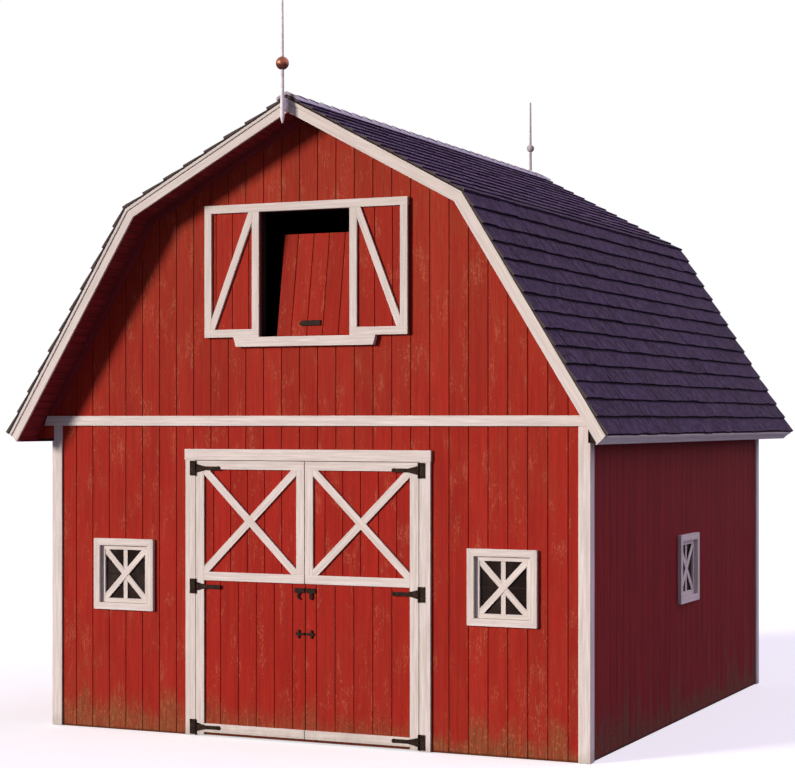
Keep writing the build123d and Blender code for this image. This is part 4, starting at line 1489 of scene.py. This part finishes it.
# %% Friezes
frieze_height, frieze_thick = 0.074, 0.018
frieze_ridge, frieze_knee = slope_lines(soffit_depth + frieze_height)
band_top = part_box("front_band")[1].z
soffit_foot, frieze_foot = [
    corner + lower_run * ((corner.z - band_top) / -lower_run.z)
    for corner in (soffit_knee, frieze_knee)
]
frieze_parts = (
    ((soffit_ridge, soffit_knee, frieze_knee, frieze_ridge), upper_run),
    ((soffit_knee, soffit_foot, frieze_foot, frieze_knee), lower_run),
)
work = bmesh.new()
for ys in ((wall_front - frieze_thick, wall_front), (wall_back, wall_back + frieze_thick)):
    for side in (-1, 1):
        for part, run in frieze_parts:
            outline = [(p.x * side, p.z) for p in part]
            lay_board(work, outline, *ys, (run.x * side, run.z), 0.4)
piece = finish_piece(work, "gable_friezes", [soffit_red], "red_boards", "barn", [], 0.002)
print(piece.name, len(piece.data.polygons))

# %% [markdown]
# ## Fascias
# A fascia closes each eave. It leans with the rake's cut foot and carries a batten along
# its top edge. Its outside is a paler white than the other trim, as painted light that lifts
# it out of its shade, and the side that looks back at the soffit is red. Two boards could
# be laid back to back, but one board with two finishes can't come apart.

# %% Fascias
work = frame_copy(["eave_fascias"])
low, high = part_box("eave_fascias")
face_foot = max(v.co.x for v in work.verts if v.co.z < low.z + 0.001)
up_face = Vector((eave.x - face_foot, 0, eave.z - low.z)).normalized()
batten_height, batten_thick = 0.032, 0.012
head = Vector((eave.x, 0, eave.z))
for side in (-1, 1):
    ys = (low.y, high.y)
    slope_board(work, side, -up_face, head, batten_thick, 0.0, batten_height, ys, 0.0)
bmesh.ops.recalc_face_normals(work, faces=work.faces)
lay_grain(work, outward, 5)
for face in work.faces:
    inward = -face.normal.x if face.calc_center_median().x > 0 else face.normal.x
    face.material_index = 1 if inward > 0.3 else 0
name, nodes, finishes = "fascia_boards", ["eave_fascias"], [fascia_lit_white, soffit_red]
piece = finish_piece(work, name, finishes, "white_trim", "barn", nodes, 0.0015)
print(name, len(piece.data.polygons))

# %% [markdown]
# ## Windows
# One window is laid out flat, looking along -Y with its middle at the origin, and then set
# in its six places. The trim is mitred and the sash sits back from it. Two diagonal bars
# cross over an upright one, and all three stand in front of the dark pane. A thin glazing
# bar runs level between them and the pane, and its near-black colour is painted shade. Six
# windows drawn one by one would drift apart.

# %% One window
half_width, half_height, trim = 0.359, 0.371, 0.072
trim_clearance, sash = 0.001, 0.044
hole_width = half_width - trim - trim_clearance
hole_height = half_height - trim - trim_clearance
trim_ys, sash_ys = (-0.040, 0.0), (0.0, 0.045)
bar_width, bar_reach = 0.062, 1.5
mullion_half, strip_half = 0.024, 0.006
mullion_ys, falling_ys, rising_ys = (0.011, 0.021), (0.006, 0.016), (0.002, 0.012)


def frame_outlines(w, h, b):
    """Four mitred boards round a rectangle, with the way each one's grain runs."""
    return [
        ([(-w, h), (w, h), (w - b, h - b), (-w + b, h - b)], level_grain),
        ([(-w, -h), (w, -h), (w - b, -h + b), (-w + b, -h + b)], level_grain),
        ([(-w, -h), (-w, h), (-w + b, h - b), (-w + b, -h + b)], upright_grain),
        ([(w, -h), (w, h), (w - b, h - b), (w - b, -h + b)], upright_grain),
    ]


trims, sashes = bmesh.new(), bmesh.new()
tone = 0.1
for work, size, ys in (
    (trims, (half_width, half_height, trim), trim_ys),
    (sashes, (hole_width, hole_height, sash), sash_ys),
):
    for outline, way in frame_outlines(*size):
        tone = (tone + 0.37) % 1
        lay_board(work, outline, *ys, way, tone)

right, top = hole_width - sash, hole_height - sash
left, foot = -right, -top
pane = (left, right, foot, top)
far_left, far_right, far_foot, far_top = (edge * bar_reach for edge in pane)
falling = brace_outline((far_left, far_top), (far_right, far_foot), bar_width)
rising = brace_outline((far_left, far_foot), (far_right, far_top), bar_width)
mullion = square((-mullion_half, mullion_half), (foot, top))
lay_board(sashes, mullion, *mullion_ys, upright_grain, 0.5)
lay_board(sashes, clip_outline(falling, *pane), *falling_ys, (right, foot), 0.2)
lay_board(sashes, clip_outline(rising, *pane), *rising_ys, (right, top), 0.8)
strip = square((left, right), (-strip_half, strip_half))
strip_ys = (0.018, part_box("window_panes")[0].y - wall_front + 0.001)
# The glazing bar takes the second finish, near-black wood as painted shade.
for face in lay_board(sashes, strip, *strip_ys, level_grain, 0.3):
    face.material_index = 1
print("one window:", len(trims.faces), "trim faces,", len(sashes.faces), "sash faces")

# %% [markdown]
# ## The six places
# Two windows stand in the front wall, two in the back and one in each side wall. Each place
# is a point on the wall's face and the turn that makes the window look outwards.

# %% Six windows
gable_x, front_y, back_y = 2.114, -3.155, 3.205
side_x, side_y, window_height = 2.98, 0.145, 1.623
window_places = [
    (-gable_x, front_y, 0),
    (-gable_x, back_y, 180),
    (gable_x, front_y, 0),
    (gable_x, back_y, 180),
    (-side_x, side_y, -90),
    (side_x, side_y, 90),
]


def set_in_place(work, name, nodes):
    """Copy one window's boards to all six places."""
    single = as_mesh(work, name)
    everywhere = bmesh.new()
    for x, y, turn in window_places:
        copy = single.copy()
        spot = Matrix.Translation((x, y, window_height))
        copy.transform(spot @ Matrix.Rotation(math.radians(turn), 4, "Z"))
        everywhere.from_mesh(copy)
    finishes = [trim_white, painted_shade_wood]
    return finish_piece(everywhere, name, finishes, "white_trim", "barn", nodes, 0.002)


window_trim = set_in_place(trims, "window_trim_boards", ["window_trims"])
window_sash = set_in_place(sashes, "window_sash_bars", ["window_sashes"])
print("window faces:", len(window_trim.data.polygons), len(window_sash.data.polygons))

# %% [markdown]
# ## Roof shakes
# Shakes lie in courses, each course over the head of the one below, so the roof steps down
# like a saw. A bump map could fake that from afar, but the steps show at the gable. Every
# shake is the same wedge, thick at its lower edge, and the tree lays them out flat: it
# gives each one a random width, adds the widths up along the course to find where it
# starts, and scales the wedge to fit.

# %% Shake tree
shake_tree, given, result = new_group(
    "Shake Courses",
    "GeometryNodeTree",
    [
        ("Geometry", GEOMETRY, None),
        ("Length", FLOAT, 7.31),
        ("Run", FLOAT, 2.7),
        ("Courses", WHOLE, 14),
        ("Shakes Per Course", WHOLE, 24),
        ("Butt", FLOAT, 0.030),
        ("Tip", FLOAT, 0.004),
        ("Overlap", FLOAT, 1.14),
        ("Unevenness", FLOAT, 0.006),
        ("Gap", FLOAT, 0.0045),
        ("Seed", WHOLE, 1),
        ("Finish", FINISH, None),
    ],
    [("Geometry", GEOMETRY)],
)
tree = shake_tree

# One point for every shake. Its course comes from its number.
per_course = given["Shakes Per Course"]
exposure = calc(tree, "DIVIDE", given["Run"], given["Courses"])
many = times(tree, given["Courses"], per_course)
points = put(tree, "GeometryNodePoints", {"Count": many}).outputs[0]
index = put(tree, "GeometryNodeInputIndex").outputs[0]
course = calc(tree, "FLOOR", calc(tree, "DIVIDE", plus(tree, index, 0.5), per_course))

# Random shares of the course become widths, and their running sum becomes the place.
share = chance(tree, 0.55, 1.45, given["Seed"])
shares = {"Value": share, "Group ID": course}
summed = put(tree, "GeometryNodeAccumulateField", shares, data_type="FLOAT").outputs
per_share = calc(tree, "DIVIDE", given["Length"], summed["Total"])
width = times(tree, share, per_share)
middle = plus(tree, times(tree, summed["Trailing"], per_share), times(tree, width, 0.5))
slip = times(tree, chance(tree, -1.0, 1.0, plus(tree, given["Seed"], 50.0)), given["Unevenness"])
lower_edge = plus(tree, times(tree, course, exposure), slip)
laid = placed(tree, points, Position=combined(tree, middle, lower_edge))

# The wedge: a box whose top comes down to the tip as it goes up the slope.
box_size = {"Size": (1, 1, 1), "Vertices X": 4, "Vertices Y": 4, "Vertices Z": 2}
box = put(tree, "GeometryNodeMeshCube", box_size).outputs[0]
here = separated(tree, put(tree, "GeometryNodeInputPosition").outputs[0])
up_slope = plus(tree, here["Y"], 0.5)
row_place = calc(tree, "POWER", up_slope, 2.0)
taper = {"Value": row_place, "To Min": given["Butt"], "To Max": given["Tip"]}
thick = put(tree, "ShaderNodeMapRange", {**taper, "From Min": 0.0, "From Max": 1.0}).outputs[0]
is_top = calc(tree, "GREATER_THAN", here["Z"], 0.0)
is_butt = calc(tree, "LESS_THAN", up_slope, 0.05)
eased = times(tree, times(tree, is_top, is_butt), 0.008)
wedge_y = plus(tree, times(tree, row_place, given["Overlap"]), eased)
wedge_place = combined(tree, here["X"], wedge_y, times(tree, is_top, thick))
wedge = placed(tree, box, Position=wedge_place)
lapped = store(tree, wedge, "lap", here["Y"], domain="POINT")

# One wedge on every point, each in its own width, thickness and tone.
thickness = chance(tree, 0.86, 1.10, plus(tree, given["Seed"], 90.0))
scale = combined(tree, calc(tree, "SUBTRACT", width, given["Gap"]), exposure, thickness)
sheet = on_points(tree, laid, lapped, Scale=scale)
tone = chance(tree, 0.0, 1.0, plus(tree, given["Seed"], 7.0))
whole = realized(tree, store(tree, sheet, "tone", tone, domain="INSTANCE"))

# A little warp, then what the finish needs: which faces are cut, and the board's vector.
wobble = put(tree, "ShaderNodeTexNoise", {"Scale": 5.0, "Detail": 2.0}).outputs["Color"]
centred = vectors(tree, "SUBTRACT", wobble, (0.5, 0.5, 0.5))
bent = placed(tree, whole, Offset=vectors(tree, "MULTIPLY", centred, (0.0, 0.022, 0.010)))
facing = separated(tree, put(tree, "GeometryNodeInputNormal").outputs[0])
sideways = calc(tree, "GREATER_THAN", calc(tree, "ABSOLUTE", facing["X"]), 0.8)
# Butts are marked 0.5, and the finish paints them dark as painted shade.
downhill = times(tree, calc(tree, "LESS_THAN", facing["Y"], -0.6), 0.5)
edged = store(tree, bent, "cut_edge", plus(tree, sideways, downhill))
offset = times(tree, stored_tone(tree), 23.7)
timber = combined(tree, plus(tree, here["Y"], offset), plus(tree, here["X"], offset), here["Z"])
grained = store(tree, edged, "timber", timber, "FLOAT_VECTOR", "CORNER")
tree.links.new(coated(tree, grained, given["Finish"]), result["Geometry"])
print("shake tree:", len(tree.nodes), "nodes")

# %% [markdown]
# ## Laying the roof
# The deck under the shakes is the frame's slope with its top planed down by the thickness
# of the shakes, so the finished roof is as thick as the frame's. Each sheet of shakes is
# turned from flat onto its slope with one matrix: along the eave, up the slope and out of
# it. The upper sheets run a little over the knee, as a drip edge.

# %% Laying the roof
sunk, upper_drip = 0.001, 0.012
laid_courses = {
    "roof_lower_left": (11, 0.030),
    "roof_lower_right": (14, 0.030),
    "roof_upper_left": (8, 0.030),
    "roof_upper_right": (13, 0.023),
}
shake_sheets = []
for seed, (name, (courses, butt)) in enumerate(laid_courses.items()):
    work = frame_copy([name])
    top = max(work.faces, key=lambda f: f.calc_area() * (f.normal.z > 0.3))
    up_normal = top.normal.copy()
    spots = [v.co.copy() for v in top.verts]
    low_z, high_z = min(p.z for p in spots), max(p.z for p in spots)
    first_y, last_y = min(p.y for p in spots), max(p.y for p in spots)
    low_x = next(p.x for p in spots if abs(p.z - low_z) < 1e-4)
    high_x = next(p.x for p in spots if abs(p.z - high_z) < 1e-4)
    uphill = Vector((high_x - low_x, 0, high_z - low_z))
    run = uphill.length
    uphill.normalize()
    along = uphill.cross(up_normal)
    start_y = first_y if along.y > 0 else last_y
    deck_top = Vector((low_x, start_y, low_z)) - up_normal * (butt - sunk)
    cut_back(work, deck_top, up_normal)
    lay_grain(work, None, seed)
    # The deck's cut ends at the gables take the near-black wood, as painted shade.
    for face in work.faces:
        face.material_index = 1 if abs(face.normal.y) > 0.5 else 0
    deck_name = "deck_" + name.removeprefix("roof_")
    finish_piece(work, deck_name, [inside_wood, painted_shade_wood], "shakes", "barn", [], 0.0)

    drip = upper_drip if "upper" in name else 0.0
    settings = {
        "Length": last_y - first_y,
        "Run": run + drip,
        "Courses": courses,
        "Butt": butt,
        "Seed": seed + 3,
        "Finish": shake_grey,
    }
    sheet = grow(shake_tree, settings)
    start = deck_top - uphill * drip
    columns = (along, uphill, up_normal, start)
    onto_slope = [[column[axis] for column in columns] for axis in range(3)]
    sheet.transform(Matrix([*onto_slope, (0, 0, 0, 1)]))
    shake_sheets.append(sheet)
shakes = gather(shake_sheets, "roof_shakes", "shakes", "barn", list(laid_courses))
print("shake faces:", len(shakes.data.polygons))

# %% [markdown]
# ## A row of pieces
# Bent caps straddle the ridge, each lapped over the next one back. A small tree repeats one
# cap along a line, each a little smaller by chance. An Array modifier would make them all
# the same.

# %% Row tree
row_tree, given, result = new_group(
    "Row of Pieces",
    "GeometryNodeTree",
    [
        ("Geometry", GEOMETRY, None),
        ("Count", WHOLE, 30),
        ("Step", VECTOR, None),
        ("Difference", FLOAT, 0.05),
        ("Seed", WHOLE, 1),
        ("Finish", FINISH, None),
    ],
    [("Geometry", GEOMETRY)],
)
tree = row_tree
steps = {"Count": given["Count"], "Offset": given["Step"]}
line = put(tree, "GeometryNodeMeshLine", steps).outputs[0]
low_size = calc(tree, "SUBTRACT", 1.0, given["Difference"])
size = chance(tree, low_size, 1.0, given["Seed"])
repeated = on_points(tree, line, given["Geometry"], Scale=combined(tree, size, 1.0, size))
tone = chance(tree, 0.0, 1.0, plus(tree, given["Seed"], 5.0))
whole = realized(tree, store(tree, repeated, "tone", tone, domain="INSTANCE"))
tree.links.new(coated(tree, whole, given["Finish"]), result["Geometry"])
print("row tree:", len(tree.nodes), "nodes")

# %% [markdown]
# ## One ridge cap
# A cap is a folded wedge: five points across, from one foot over a slightly rounded crown
# to the other foot, thick in front and thin behind. It is built from two rings of points,
# which is less work than bending a flat shingle.

# %% One ridge cap
low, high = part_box("ridge_cap")
cap_pitch = math.radians(28.4)
cap_count, cap_lap = 29, 0.14
exposure = (high.y - low.y) / (cap_count + cap_lap)
cap_length = exposure * (1 + cap_lap)
front_thick, back_thick = 0.027, 0.014
crown_half, crown_drop = 0.03, 0.004
across = (-high.x, -crown_half, 0.0, crown_half, high.x)
sides = len(across) - 1
work = bmesh.new()
rings = []
for y, thick in ((0.0, front_thick), (cap_length, back_thick)):
    ring = []
    for lift in (0.0, thick):
        for x in across:
            fall = abs(x) * math.tan(cap_pitch)
            round_off = crown_drop if x == 0.0 else 0.0
            z = lift / math.cos(cap_pitch) - fall - round_off
            ring.append(work.verts.new((x, y, z)))
    rings.append(ring)
front, back = rings
for i in range(sides):
    over = i + len(across)
    work.faces.new((front[over], front[over + 1], back[over + 1], back[over]))
    work.faces.new((front[i + 1], front[i], back[i], back[i + 1]))
    work.faces.new((front[i], front[i + 1], front[over + 1], front[over]))
    work.faces.new((back[i + 1], back[i], back[over], back[over + 1]))
work.faces.new((front[0], front[5], back[5], back[0]))
work.faces.new((front[9], front[4], back[4], back[9]))
bmesh.ops.recalc_face_normals(work, faces=work.faces)
lay_grain(work, outward)
cut_edge = work.faces.layers.float.new("cut_edge")
for face in work.faces:
    in_front, below = face.calc_center_median().y < 0.001, face.normal.z < -0.3
    face[cut_edge] = 1.0 if in_front or below else 0.0
cap_piece = as_mesh(work, "cap_piece")
print("one cap:", len(cap_piece.polygons), "faces,", round(cap_length, 3), "m long")

# %% [markdown]
# ## Caps along the ridge
# The row starts at the front edge of the frame's cap and sits on the peak of the decks.

# %% Ridge caps
settings = {"Count": cap_count, "Step": (0, exposure, 0), "Difference": 0.05}
caps = grow(row_tree, {**settings, "Finish": cap_grey}, cap_piece)
caps.transform(Matrix.Translation((0, low.y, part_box("roof_upper_right")[1].z)))
ridge = gather([caps], "ridge_caps", "shakes", "barn", ["ridge_cap"])
print("ridge caps:", cap_count, "top at", round(max(v.co.z for v in ridge.data.vertices), 3))

# %% [markdown]
# ## Bolts
# The ironwork is held with bolts that have low domed heads. A dome could be modelled on
# every plate. Instead the tree sets one dome on every point of a small mesh of bolt places,
# so a list of places is all that a plate needs.

# %% Bolt tree
bolt_tree, given, result = new_group(
    "Domed Bolts",
    "GeometryNodeTree",
    [
        ("Geometry", GEOMETRY, None),
        ("Radius", FLOAT, 0.008),
        ("Height", FLOAT, 0.005),
        ("Finish", FINISH, None),
    ],
    [("Geometry", GEOMETRY)],
)
tree = bolt_tree
dome = {"Segments": 10, "Rings": 6, "Radius": 1.0}
ball = put(tree, "GeometryNodeMeshUVSphere", dome).outputs[0]
size = combined(tree, given["Radius"], given["Height"], given["Radius"])
heads = realized(tree, on_points(tree, given["Geometry"], ball, Scale=size))
tree.links.new(coated(tree, heads, given["Finish"]), result["Geometry"])


def bolts(name, places, body):
    """Domed bolt heads at these places, on iron that faces the front."""
    marks = bpy.data.meshes.new(name)
    marks.from_pydata(places, [], [])
    piece = gather([grow(bolt_tree, {"Finish": iron}, marks)], name, "iron", body, [])
    piece.data.shade_smooth()
    print(name, len(places))


print("bolt tree:", len(tree.nodes), "nodes")

# %% [markdown]
# ## Hinges and latches
# The hinge plates, straps, latches and the hatch's handle are right in the frame. They get
# eased edges and bolts. The plates stay on the jambs, and the straps turn with the doors,
# so each door has its own straps and its own bolts.

# %% Hinges and latches
hinge_heights = (0.090, 1.530, 2.738)
plate_x, plate_bolt_x, plate_bolt_z = 1.290, 0.012, 0.055
strap_x = 1.225
strap_bolts = ((0.0, 0.026), (0.0, -0.026), (0.115, 0.0), (0.235, 0.0))
plate_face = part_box("hinge_plates")[0].y + 0.011
dress("jamb_plates", ["hinge_plates"], iron, "iron", "barn", 0.0012)
plate_spots = [
    (sign * (plate_x + dx), plate_face, z + dz)
    for sign in (-1, 1)
    for z in hinge_heights
    for dx in (-plate_bolt_x, plate_bolt_x)
    for dz in (-plate_bolt_z, plate_bolt_z)
]
bolts("plate_bolts", plate_spots, "barn")
for side, sign in (("left", -1), ("right", 1)):
    door = f"{side}_door"
    dress(f"{side}_straps", [f"{door}_straps"], iron, "iron", door, 0.0012)
    strap_spots = [
        (sign * (strap_x - dx), plate_face, z + dz)
        for z in hinge_heights
        for dx, dz in strap_bolts
    ]
    bolts(f"{side}_strap_bolts", strap_spots, door)
    dress(f"{side}_latch", [f"{door}_latch"], iron, "iron", door, 0.002)
handle = dress("hatch_handle", ["hay_handle"], iron, "iron", "barn", 0.004)
print(handle.name, len(handle.data.polygons))

# %% [markdown]
# ## Panes, spires and balls
# The panes and rods of the frame already have the right shape, so they stay and only change
# finish. The balls are copied, because the front one is copper and the back one is as pale
# as its rod, and darkened by the same painted shade.

# %% Frame pieces that stay
for node, finish in {"window_panes": window_glass, "spires": spire_white}.items():
    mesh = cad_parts[node].data
    for index in range(len(mesh.materials)):
        mesh.materials[index] = finish
    print(node, "in", finish.name)
work = frame_copy(["spire_balls"])
lay_grain(work)
low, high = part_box("spire_balls")
middle_y = (low.y + high.y) / 2
for face in work.faces:
    face.material_index = 1 if face.calc_center_median().y > middle_y else 0
name, nodes, finishes = "spire_balls_worn", ["spire_balls"], [copper, spire_white]
piece = finish_piece(work, name, finishes, "copper", "barn", nodes, smooth=True)
print(name, len(piece.data.polygons))
